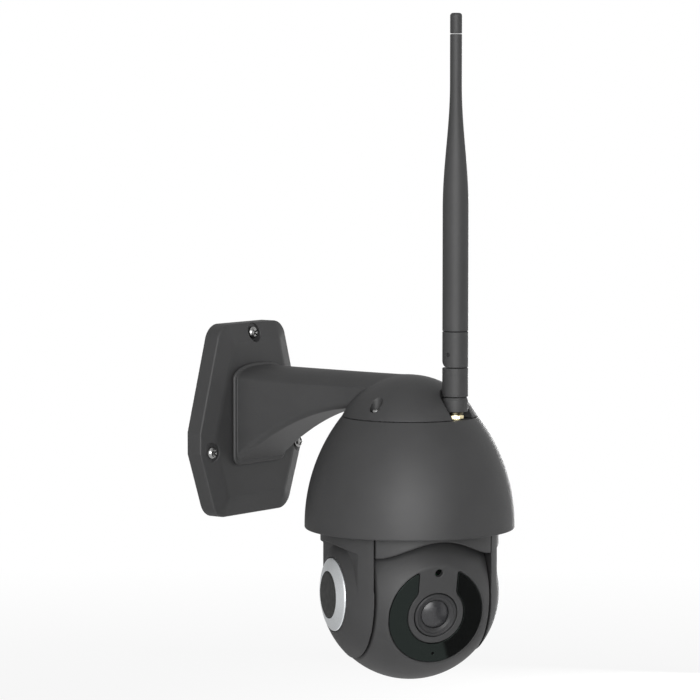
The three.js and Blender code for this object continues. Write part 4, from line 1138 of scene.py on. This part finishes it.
class MakeFinishes(PieceOperator):
    """Make the materials and the trees that turned and repeated pieces share"""

    bl_idname = "pan_tilt_camera.finishes"
    bl_label = "Finishes"

    def make(self, camera):
        color = camera.finishes
        grain = color.grain
        finishes.housing = moulded_plastic("housing_plastic", tuple(color.housing), 0.55, grain)
        finishes.whip = moulded_plastic("antenna_plastic", tuple(color.whip), 0.58, grain * 0.8, 0.4)
        finishes.nickel = plated_metal("nickel_plate", tuple(color.nickel), 0.2)
        # brass above NUT_RING gets painted shade, for the shadow that the antenna's collar casts on the nut's
        # upper ring
        finishes.brass = plated_metal("brass", tuple(color.brass), 0.33, shaded_above=NUT_RING)
        finishes.silver = plated_metal("silver_ring", tuple(color.silver), 0.4, 0.4)
        finishes.black = smooth_plastic("dark_plastic", tuple(color.black), 0.42)
        finishes.disc = smooth_plastic("hub_disc", (0.03, 0.031, 0.03), 0.5, 0.22)
        finishes.sensor = smooth_plastic("sensor_window", (0.002, 0.002, 0.002), 0.15, 0.05)
        gleam = (0.76, 1, 0.9)
        finishes.window = smooth_plastic("infrared_window", tuple(color.window), 0.025, 0.26, 0.03, gleam)
        finishes.bezel = smooth_plastic("lens_bezel", (0.028, 0.028, 0.029), 0.45, 0.35)
        finishes.lens = smooth_plastic("coated_lens", (0.03, 0.03, 0.032), 0.28, 0.45, 0.03)
        finishes.rubber = moulded_plastic("rubber", (0.011, 0.011, 0.011), 0.75, 0.6, 0.2)
        finishes.circuit = smooth_plastic("circuit_board", (0.012, 0.07, 0.025), 0.35)
        finishes.steel = plated_metal("steel", (0.42, 0.42, 0.43), 0.32)
        finishes.acetal = smooth_plastic("acetal", (0.74, 0.72, 0.66), 0.4)
        finishes.resin = smooth_plastic("lamp_resin", (0.08, 0.07, 0.1), 0.1, 0.5)
        trees.turned, trees.dome, trees.whip = turned_tree(), dome_tree(), whip_tree()
        trees.screws, trees.lamps = screw_tree(), lamp_tree()


class MakePlate(PieceOperator):
    """Make the wall plate and the cable's rubber gland"""

    bl_idname = "pan_tilt_camera.plate"
    bl_label = "Wall Plate"

    def make(self, camera):
        size = lengths(camera.plate)
        axes = grid(PLATE_LOW, PLATE_HIGH, (0.9, 0.7, 0.9), (0.6, 0.45, 0.6))
        field = plate_field(size, PLATE_HIGH.x)
        add_skin("plate", field, axes, Matrix(), finishes.housing, "mount", "housing", "wall_plate")
        inner, outer, neck = 4.6, 10.0, 7.7
        end = -PLATE_LOW.y - 3
        profile = [
            (inner, 0.3, 0.3), (outer, 0.3, 0.3), (outer, 2.3, 0.3),
            (neck, 2.3, 0.3), (neck, end, 0.5), (inner, end, 0.5),
        ]
        place = Matrix.Translation((0, 0, INLET_HEIGHT)) @ FRONTWARDS
        add_turned("inlet_gland", profile, place, finishes.rubber, "mount", "rubber", "cable_inlet_grommet")


class MakeArm(PieceOperator):
    """Make the support arm with its lip and its cap"""

    bl_idname = "pan_tilt_camera.arm"
    bl_label = "Support Arm"

    def make(self, camera):
        axes = (
            even(ARM_LOW.x - 0.9, ARM_HIGH.x + 0.9, 0.65),
            even(ARM_LOW.y - 0.9, ARM_HIGH.y + 0.7, 0.65),
            even(ARM_LOW.z - 0.9, ARM_HIGH.z + 0.9, 0.6),
        )
        field = arm_field(lengths(camera.arm))
        add_skin("arm_and_cap", field, axes, Matrix(), finishes.housing, "mount", "housing", "support_arm")


class MakeDome(PieceOperator):
    """Make the dome, its gasket and the dark base under it"""

    bl_idname = "pan_tilt_camera.dome"
    bl_label = "Dome"

    def make(self, camera):
        size = camera.dome
        mesh = grown(
            "dome", trees.dome, bpy.data.meshes.new("dome"), DOME_PLACE,
            Rows=36, Segments=size.segments, Radius=(DOME_HIGH.x - DOME_LOW.x) / 2 * MM,
            Side_Arc=size.side_arc, Waist=size.waist, Top=DOME_HIGH.z * MM, Rim=DOME_LOW.z * MM,
            Wall=size.wall, Roll=size.roll, Finish=finishes.housing,
        )
        add_piece("dome", mesh, finishes.housing, "mount", "housing", "dome_shell")
        low, high = corners("pan_base")
        bore, inner, outer, collar = 14, 44.6, 45.4, 45.7
        floor, flange = high.z - 2.5, size.waist / MM
        profile = [
            (bore, floor, 0.3), (inner, floor, 0.5), (inner, low.z, 0.2), (outer, low.z, 0.2),
            (outer, flange, 0.1), (high.x, flange, 0.3), (high.x, flange + 2, 0.3),
            (collar, flange + 2, 0.3), (collar, high.z, 0.5), (bore, high.z, 0.3),
        ]
        base = ("dome_base", profile, DOME_PLACE, finishes.black, "mount", "dark", "pan_base")
        add_turned(*base, segments=160)
        low, high = corners("cap_gasket")
        seal = ((15.4, low.z), (17.4, low.z), (17.4, high.z), (15.4, high.z))
        profile = [(radius, z, 0.2) for radius, z in seal]
        add_turned("cap_seal", profile, DOME_PLACE, finishes.rubber, "mount", "rubber", "cap_gasket")


class MakeAntenna(PieceOperator):
    """Make the antenna, from its nut to its tip"""

    bl_idname = "pan_tilt_camera.antenna"
    bl_label = "Antenna"

    def make(self, camera):
        size = lengths(camera.antenna)
        radius = (WHIP_HIGH.x - WHIP_LOW.x) / 2
        low, high = corners("antenna_nut")
        across = even(-4.5, 4.5, 0.12)
        axes = (across, across, even(low.z - 0.3, high.z + 0.3, 0.1))
        field = nut_field(low.z, high.z)
        brass = (finishes.brass, "mount", "brass", "antenna_nut")
        add_skin("antenna_nut_brass", field, axes, ANTENNA_PLACE, *brass)
        low, high = corners("antenna_collar")
        profile = [
            (0, low.z, 0), (radius - 0.15, low.z, 0.15), (radius, low.z + 3, 1),
            (radius, high.z - 1.6, 0.8), (radius - 0.6, high.z, 0.15), (0, high.z, 0),
        ]
        whip = (ANTENNA_PLACE, finishes.whip)
        add_turned("antenna_foot", profile, *whip, "antenna_base", "whip", "antenna_collar", closed=False)
        pin_height = ANTENNA_AXIS.z
        bottom = high.z + ANTENNA_GAP
        low, high = corners("antenna_knuckle")
        around = even(-radius - 0.4, radius + 0.4, 0.2)
        axes = (around, around, even(bottom - 0.4, pin_height + 3.6, 0.2))
        field = swivel_field(radius, bottom, low.z - ANTENNA_GAP, pin_height, 1.1, size.edge)
        add_skin("antenna_barrel", field, axes, *whip, "antenna_base", "whip", "antenna_swivel")
        axes = (around, around, even(low.z - 0.4, high.z + 0.4, 0.2))
        field = knuckle_field(radius, low.z, high.z, pin_height, size.pin, size.edge)
        add_skin("antenna_joint", field, axes, *whip, "antenna_mast", "whip", "antenna_knuckle")
        mesh = grown(
            "antenna_rod", trees.whip, bpy.data.meshes.new("antenna_rod"), ANTENNA_PLACE,
            Rows=72, Segments=72, Radius=radius * MM, Tip_Radius=size.tip_radius * MM,
            Bottom=WHIP_LOW.z * MM, Top=WHIP_HIGH.z * MM, Taper_Start=size.taper_start * MM,
            Taper_Length=size.taper_length * MM, Edge=size.edge * MM, Finish=finishes.whip,
        )
        add_piece("antenna_rod", mesh, finishes.whip, "antenna_mast", "whip", "antenna_whip")
        tip = size.tip_radius
        low, high = TIP_LOW.z, TIP_HIGH.z
        profile = [(0, low, 0), (tip, low, 0.3), (tip, high, tip * 0.92), (0, high, 0)]
        add_turned("antenna_cap", profile, *whip, "antenna_mast", "whip", "antenna_tip", closed=False)


class MakeYoke(PieceOperator):
    """Make the yoke's neck, its two arms, and the rings and discs on its hubs"""

    bl_idname = "pan_tilt_camera.yoke"
    bl_label = "Yoke"

    def make(self, camera):
        size = lengths(camera.yoke)
        reach = size.radius + 0.9
        axes = (
            even(-reach, reach, 0.65),
            even(-reach, reach, 0.65),
            steps((VISOR_EDGE - 0.9, 0.6), (DISC_TOP + 1, 0.9), (NECK_TOP + 1, 1)),
        )
        housing = (finishes.housing, "yoke", "housing")
        add_skin("yoke_crown", neck_field(size), axes, YOKE_PLACE, *housing, "yoke_neck")
        axes = (
            even(size.inner - 0.8, size.ball + 0.8, 0.5),
            even(-32.5, 32.5, 0.6),
            even(-size.ball - 1, DISC_BOTTOM + 0.5, 0.6),
        )
        arm = skin(yoke_arm_field(size, DISC_BOTTOM - 0.3), axes)
        foot, inner, disc_radius = SEAT + 0.3, 11.7, 11.4
        ring = [
            (inner, foot, 0.2), (RING_RADIUS, foot, 0.3), (RING_RADIUS, 41, 0.5),
            (RING_RADIUS - 1, 41.45, 0.3), (inner, 43.6, 0.35),
        ]
        disc = [
            (0, foot, 0), (disc_radius, foot, 0.2), (disc_radius, 43.3, 0.5), (disc_radius - 1, 43.8, 0.6),
            (0, 44.2, 0),
        ]
        for side, place in (("right", YOKE_PLACE), ("left", LEFT_ARM_PLACE)):
            mesh = skin_mesh(f"side_{side}", arm, place)
            add_piece(f"side_{side}", mesh, *housing, f"yoke_arm_{side}")
            for name, profile, finish, slot, node, closed in (
                ("silver_ring", ring, finishes.silver, "ring", "hub_ring", True),
                ("dark_disc", disc, finishes.disc, "dark", "hub_disc", False),
            ):
                hub = (f"{name}_{side}", profile, place @ SIDEWAYS, finish, "yoke", slot, f"{node}_{side}")
                add_turned(*hub, closed=closed, segments=128)


class MakeBall(PieceOperator):
    """Make the two halves of the camera's ball"""

    bl_idname = "pan_tilt_camera.ball"
    bl_label = "Ball"

    def make(self, camera):
        size = lengths(camera.ball)
        reach, half = size.radius + 1, size.half + 0.8
        fine = size.window_outer + 1.5
        across = steps((-half, 0.8), (-fine, 0.4), (fine, 0.8), (half, 1))
        upright = steps((-reach, 0.8), (-fine, 0.4), (fine, 0.8), (reach, 1))
        depth = steps((size.seam - 0.7, 0.8), (size.face - 3.5, 0.35), (size.face + 0.7, 1))
        housing = (BALL_PLACE, finishes.housing, "ball", "housing")
        add_skin("ball_face", ball_front_field(size), (across, upright, depth), *housing, "ball_front")
        axes = (even(-half, half, 0.75), even(-reach, reach, 0.75), even(-reach, size.seam + 0.8, 0.75))
        add_skin("ball_back", ball_rear_field(size), axes, *housing, "ball_rear")


class MakeFace(PieceOperator):
    """Make the window, the lens and what shows through them"""

    bl_idname = "pan_tilt_camera.face"
    bl_label = "Face"

    def make(self, camera):
        size = lengths(camera.ball)
        face = size.face
        reach = size.window_outer + 0.6
        across = even(-reach, reach, 0.28)
        axes = (across, across, even(face - 1.2, face + 0.4, 0.2))
        window = (finishes.window, "ball", "window", "ir_window")
        add_skin("window", window_field(size), axes, BALL_PLACE, *window)
        inner, outer, flange, back, behind = 7.9, 10.9, 13.4, 28.5, face - 3.1
        bezel = [
            (inner, back, 0.1), (outer, back, 0.1), (outer, 32.2, 0.1), (flange, 32.2, 0.2),
            (flange, behind, 0.2), (outer, behind, 0.1), (outer, 36.3, 0.2), (10.4, 36.8, 0.25),
            (9.6, 36.8, 0.25), (9.2, 36.2, 0.12), (8.3, 36.1, 0.2), (7.2, 35.2, 0.2), (7.2, 34.0, 0.1),
            (inner, 33.9, 0.1),
        ]
        add_turned("lens_rim", bezel, BALL_PLACE, finishes.bezel, "ball", "dark", "lens_bezel")
        bend, rim, top = 14.0, 6.9, 36.7
        angles = np.linspace(math.asin(rim / bend), 0, 16)
        bulge = [(bend * math.sin(a), top - bend + bend * math.cos(a), 0) for a in angles[:-1]]
        profile = [(0, 33.5, 0), (rim, 33.5, 0.1), *bulge, (0, top, 0)]
        glass = (finishes.lens, "ball", "lens", "lens_glass")
        add_turned("lens_front", profile, BALL_PLACE, *glass, closed=False)
        lamps = [f"ir_lamp_{i}" for i in (1, 2, 3, 4)]
        local = [BALL_PLACE.inverted() @ middle(lamp) for lamp in lamps]
        base = seats("lamps", [(Vector((p.x, p.y, 31.2)), UP) for p in local])
        mesh = grown(
            "infrared_lamps", trees.lamps, base, BALL_PLACE,
            Radius=2.3 * MM, Rim=1.2 * MM, Height=3.2 * MM, Finish=finishes.resin,
        )
        add_piece("infrared_lamps", mesh, finishes.resin, "ball", "lamp", *lamps)


class MakeFasteners(PieceOperator):
    """Make all the screws"""

    bl_idname = "pan_tilt_camera.fasteners"
    bl_label = "Fasteners"

    def make(self, camera):
        front = Vector((0, -1, 0))
        plate, arm = lengths(camera.plate), lengths(camera.arm)
        pockets = (-arm.pocket_place, arm.pocket_place)
        seats_at = [(x, (plate.side_floor if x else plate.spotface_floor) + 0.3, z) for x, z in WALL_SCREWS]
        thirds = [Matrix.Rotation(math.radians(a), 3, "Z") @ Vector((47.9, 0, -37.3)) for a in (30, 150, 270)]
        kinds = [
            (
                "wall_screws", "mount", (3.1, 2.5, 1.9, plate.spotface_floor + 4.8),
                [(Vector((x, -depth, z)), front) for x, depth, z in seats_at],
                [f"wall_screw_{place}" for place in ("top", "left", "right")],
            ),
            (
                "arm_screws", "mount", (3.4, 2.4, 1.7, 15),
                [(Vector((x, -5.7, z)), -front) for x, z in ARM_SCREWS],
                [f"arm_screw_{i}" for i in (1, 2, 3, 4)],
            ),
            (
                "cap_screws", "mount", (2.3, 1.6, 1.2, 8.5),
                [(DOME_AXIS + Vector((x, 0, arm.pocket_floor + 0.3)), UP) for x in pockets],
                ["cap_screw_left", "cap_screw_right"],
            ),
            (
                "base_screws", "mount", (1.4, 1, 0.75, 8),
                [(DOME_AXIS + third, -UP) for third in thirds],
                [f"base_screw_{i}" for i in (1, 2, 3)],
            ),
            (
                "yoke_screws", "yoke", (2.5, 1.5, 1.2, 9),
                [(YOKE_PLACE @ Vector((x, 0, DISC_TOP - 0.9)), UP) for x in (YOKE_SCREW_X, -YOKE_SCREW_X)],
                ["yoke_screw_right", "yoke_screw_left"],
            ),
        ]
        for seed, (name, body, (head, height, shank, long), places, nodes) in enumerate(kinds):
            mesh = grown(
                name, trees.screws, seats(name, places), Matrix(), Seed=seed, Head=head * MM,
                Height=height * MM, Shank=shank * MM, Length=long * MM, Finish=finishes.nickel,
            )
            add_piece(name, mesh, finishes.nickel, body, "screws", *nodes)


class FinishInnerParts(PieceOperator):
    """Give the inner parts, whose shapes stay, their finishes"""

    bl_idname = "pan_tilt_camera.inner_parts"
    bl_label = "Inner Parts"

    def make(self, camera):
        by_finish = {
            "circuit": ("main_board", "sensor_board", "lamp_board"),
            "steel": (
                "pan_bearing", "pan_motor", "hub_clip", "tilt_motor", "microphone", "tilt_axle_right",
                "tilt_axle_left",
            ),
            "acetal": ("pan_gear", "pan_pinion", "tilt_gear", "tilt_pinion"),
            "brass": ("antenna_jack",),
            "black": ("lens_barrel", "antenna_pin"),
            "sensor": ("light_sensor",),
        }
        for finish, nodes in by_finish.items():
            for node in nodes:
                frame["nodes"][node].material_slots[0].material = getattr(finishes, finish)


class MakeStage(PieceOperator):
    """Make the floor, the light and the camera"""

    bl_idname = "pan_tilt_camera.stage"
    bl_label = "Stage"

    def make(self, camera):
        view = camera.stage
        scene = bpy.context.scene
        floor = bpy.data.meshes.new("floor")
        reach = 12.0
        around = ((-reach, -reach), (reach, -reach), (reach, reach), (-reach, reach))
        floor.from_pydata([(x, y, view.floor) for x, y in around], [], [(0, 1, 2, 3)])
        floor.materials.append(pale_floor())
        floor = bpy.data.objects.new("floor", floor)
        scene.collection.objects.link(floor)
        world = bpy.data.worlds.new("studio")
        scene.world = world
        world.use_nodes = True
        sky = Nodes(world.node_tree)
        for node in list(world.node_tree.nodes):
            world.node_tree.nodes.remove(node)
        way = sky.node("ShaderNodeTexCoord", output="Generated")
        height = sky.node("ShaderNodeSeparateXYZ", inputs={0: way}, output=2)
        level = sky.node("ShaderNodeMapRange", inputs={0: height, 1: 0.0, 2: 0.8, 3: 1.0, 4: view.ceiling})
        seen = sky.node("ShaderNodeLightPath", output="Is Camera Ray")
        plain, white = (
            sky.node("ShaderNodeBackground", inputs={"Color": (1, 1, 1, 1), "Strength": strength})
            for strength in (level * view.ambient, level + (1 - level) * seen)
        )
        mixed = sky.node("ShaderNodeMixShader", inputs={0: seen_rays(sky), 1: plain, 2: white})
        sky.node("ShaderNodeOutputWorld", inputs={"Surface": mixed})
        lamps = (
            ("key", view.key, 1.6, 1.3, -54, 12, 1.9),
            ("top", view.top, 1.2, 1.2, -60, 75, 1.9),
            ("rim", view.rim, 0.5, 0.8, 112, -3, 1.9),
        )
        for name, power, wide, high, azimuth, elevation, distance in lamps:
            lamp = bpy.data.lights.new(name, "AREA")
            lamp.shape, lamp.size, lamp.size_y, lamp.energy = "ELLIPSE", wide, high, power
            piece = bpy.data.objects.new(name, lamp)
            scene.collection.objects.link(piece)
            a, e = math.radians(azimuth), math.radians(elevation)
            away = Vector((math.sin(a) * math.cos(e), -math.cos(a) * math.cos(e), math.sin(e)))
            piece.location = DOME_AXIS * MM + away * distance
            piece.rotation_euler = away.to_track_quat("Z", "Y").to_euler()
        corner = [(-5.5, 0.5, -0.44), (80, 0.5, -0.44), (80, 0.5, -0.31), (8, 0.5, -0.31), (8, 0.5, 0.25),
                  (-21, 0.5, 0.25), (-21, 0.5, -0.1)]
        self.make_flag(scene, "front_flag", corner, 0.01)
        corner = [(128, 0.6, -0.4), (222, 0.5, -0.4), (222, 0.5, 0.3), (128, 0.6, 0.3)]
        self.make_flag(scene, "wall_flag", corner, 0.42)
        eye = bpy.data.cameras.new("camera")
        eye.lens, eye.sensor_width, eye.clip_start, eye.clip_end = view.lens, 36, 0.05, 100
        piece = bpy.data.objects.new("camera", eye)
        scene.collection.objects.link(piece)
        piece.location = view.place
        piece.rotation_euler = (math.pi / 2 - view.elevation, 0, view.azimuth)
        scene.camera = piece
        scene.view_settings.view_transform = "Standard"

    def make_flag(self, scene, name, corners, glow):
        """A dark board that only reflections show, through corners (azimuth, distance, height)."""
        middle = TILT_CENTRE * MM
        board = bpy.data.meshes.new(name)
        places = []
        for azimuth, reach, height in corners:
            turn = math.radians(azimuth)
            places.append((middle.x + math.sin(turn) * reach, middle.y - math.cos(turn) * reach, height))
        board.from_pydata(places, [], [range(len(places))])
        dull = {"base_color": (0.02, 0.02, 0.02), "roughness": 0.9, "specular": 0.1}
        finish = Finish(name + "_board", **dull, emission_color=(1, 1, 1), emission_strength=glow)
        board.materials.append(finish.material)
        board = bpy.data.objects.new(name, board)
        scene.collection.objects.link(board)
        for ray in ("camera", "diffuse", "shadow", "transmission"):
            setattr(board, "visible_" + ray, False)


def seen_rays(tree):
    """One for the rays that show the background, seen directly, in a mirror or through glass."""
    kinds = ("Camera", "Glossy", "Transmission")
    camera, glossy, through = (tree.node("ShaderNodeLightPath", output=f"Is {kind} Ray") for kind in kinds)
    return camera + glossy + through


def pale_floor():
    """A pale floor that looks white and keeps the shadow."""
    finish = Finish("pale_floor", roughness=0.9)
    cloud = finish.noise(400.0)
    finish.set("Base Color", finish.mix(cloud, (0.84, 0.84, 0.84), (0.88, 0.88, 0.88)))
    glow = finish.node("ShaderNodeEmission", inputs={"Color": (1, 1, 1, 1), "Strength": 1.0})
    away = finish.node("ShaderNodeVectorMath", {"operation": "LENGTH"}, {0: finish.place}, output=1)
    near, far = 1.0, 2.6  # the shadow's share fades out between these distances
    seen = seen_rays(finish) * finish.span(away, near, far, 0.75, 1.0)
    shader = Wire(finish, finish.shader.outputs[0])
    mixed = finish.node("ShaderNodeMixShader", inputs={0: seen, 1: shader, 2: glow})
    finish.tree.links.new(mixed.socket, finish.tree.nodes["Material Output"].inputs["Surface"])
    return finish.material


class StageSizes(bpy.types.PropertyGroup):
    place: FloatVectorProperty(
        name="Camera Place", description="Where the viewer stands", size=3, subtype="TRANSLATION",
        default=(-1.26317, -1.01510, 0.17137),
    )
    azimuth: angle(-53.25, "Azimuth", "Turn of the view")
    elevation: angle(4.47, "Elevation", "Downward tilt of the view")
    lens: amount(161.4, "Lens", "Focal length in millimetres")
    floor: length(-450, "Floor", "Height of the floor")
    ambient: amount(0.42, "Ambient", "Strength of the light all round")
    ceiling: share(0.6, "Ceiling", "Share of that light that comes from above")
    key: amount(35, "Key", "Power of the main light in watts")
    top: amount(2, "Top", "Power of the light from above in watts")
    rim: amount(11, "Rim", "Power of the light from behind in watts")


class CameraSizes(bpy.types.PropertyGroup):
    plate: PointerProperty(type=PlateSizes, name="Wall Plate")
    arm: PointerProperty(type=ArmSizes, name="Support Arm")
    dome: PointerProperty(type=DomeSizes, name="Dome")
    antenna: PointerProperty(type=AntennaSizes, name="Antenna")
    yoke: PointerProperty(type=YokeSizes, name="Yoke")
    ball: PointerProperty(type=BallSizes, name="Ball")
    finishes: PointerProperty(type=Finishes, name="Finishes")
    stage: PointerProperty(type=StageSizes, name="Stage")


MAKERS = (
    MakeFinishes,
    MakePlate,
    MakeArm,
    MakeDome,
    MakeAntenna,
    MakeYoke,
    MakeBall,
    MakeFace,
    MakeFasteners,
    FinishInnerParts,
    MakeStage,
)


class CameraPanel(bpy.types.Panel):
    """The camera's sizes and makers"""

    bl_idname = "VIEW3D_PT_pan_tilt_camera"
    bl_label = "Pan and Tilt Camera"
    bl_space_type = "VIEW_3D"
    bl_region_type = "UI"
    bl_category = "Camera"

    def draw(self, context):
        sizes = context.scene.pan_tilt_camera
        for maker in MAKERS:
            self.layout.operator(maker.bl_idname)
        for group in CameraSizes.__annotations__:
            box = self.layout.box()
            box.label(text=group.title())
            for name in type(getattr(sizes, group)).__annotations__:
                box.prop(getattr(sizes, group), name)


CLASSES = (
    PlateSizes, ArmSizes, DomeSizes, AntennaSizes, YokeSizes, BallSizes, Finishes, StageSizes, CameraSizes,
    *MAKERS, CameraPanel,
)


def register():
    for cls in CLASSES:
        bpy.utils.register_class(cls)
    bpy.types.Scene.pan_tilt_camera = PointerProperty(type=CameraSizes)


def unregister():
    del bpy.types.Scene.pan_tilt_camera
    for cls in reversed(CLASSES):
        bpy.utils.unregister_class(cls)


def main():
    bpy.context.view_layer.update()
    register()
    for maker in MAKERS:
        group, name = maker.bl_idname.split(".")
        getattr(getattr(bpy.ops, group), name)()


if __name__ == "__main__":
    main()
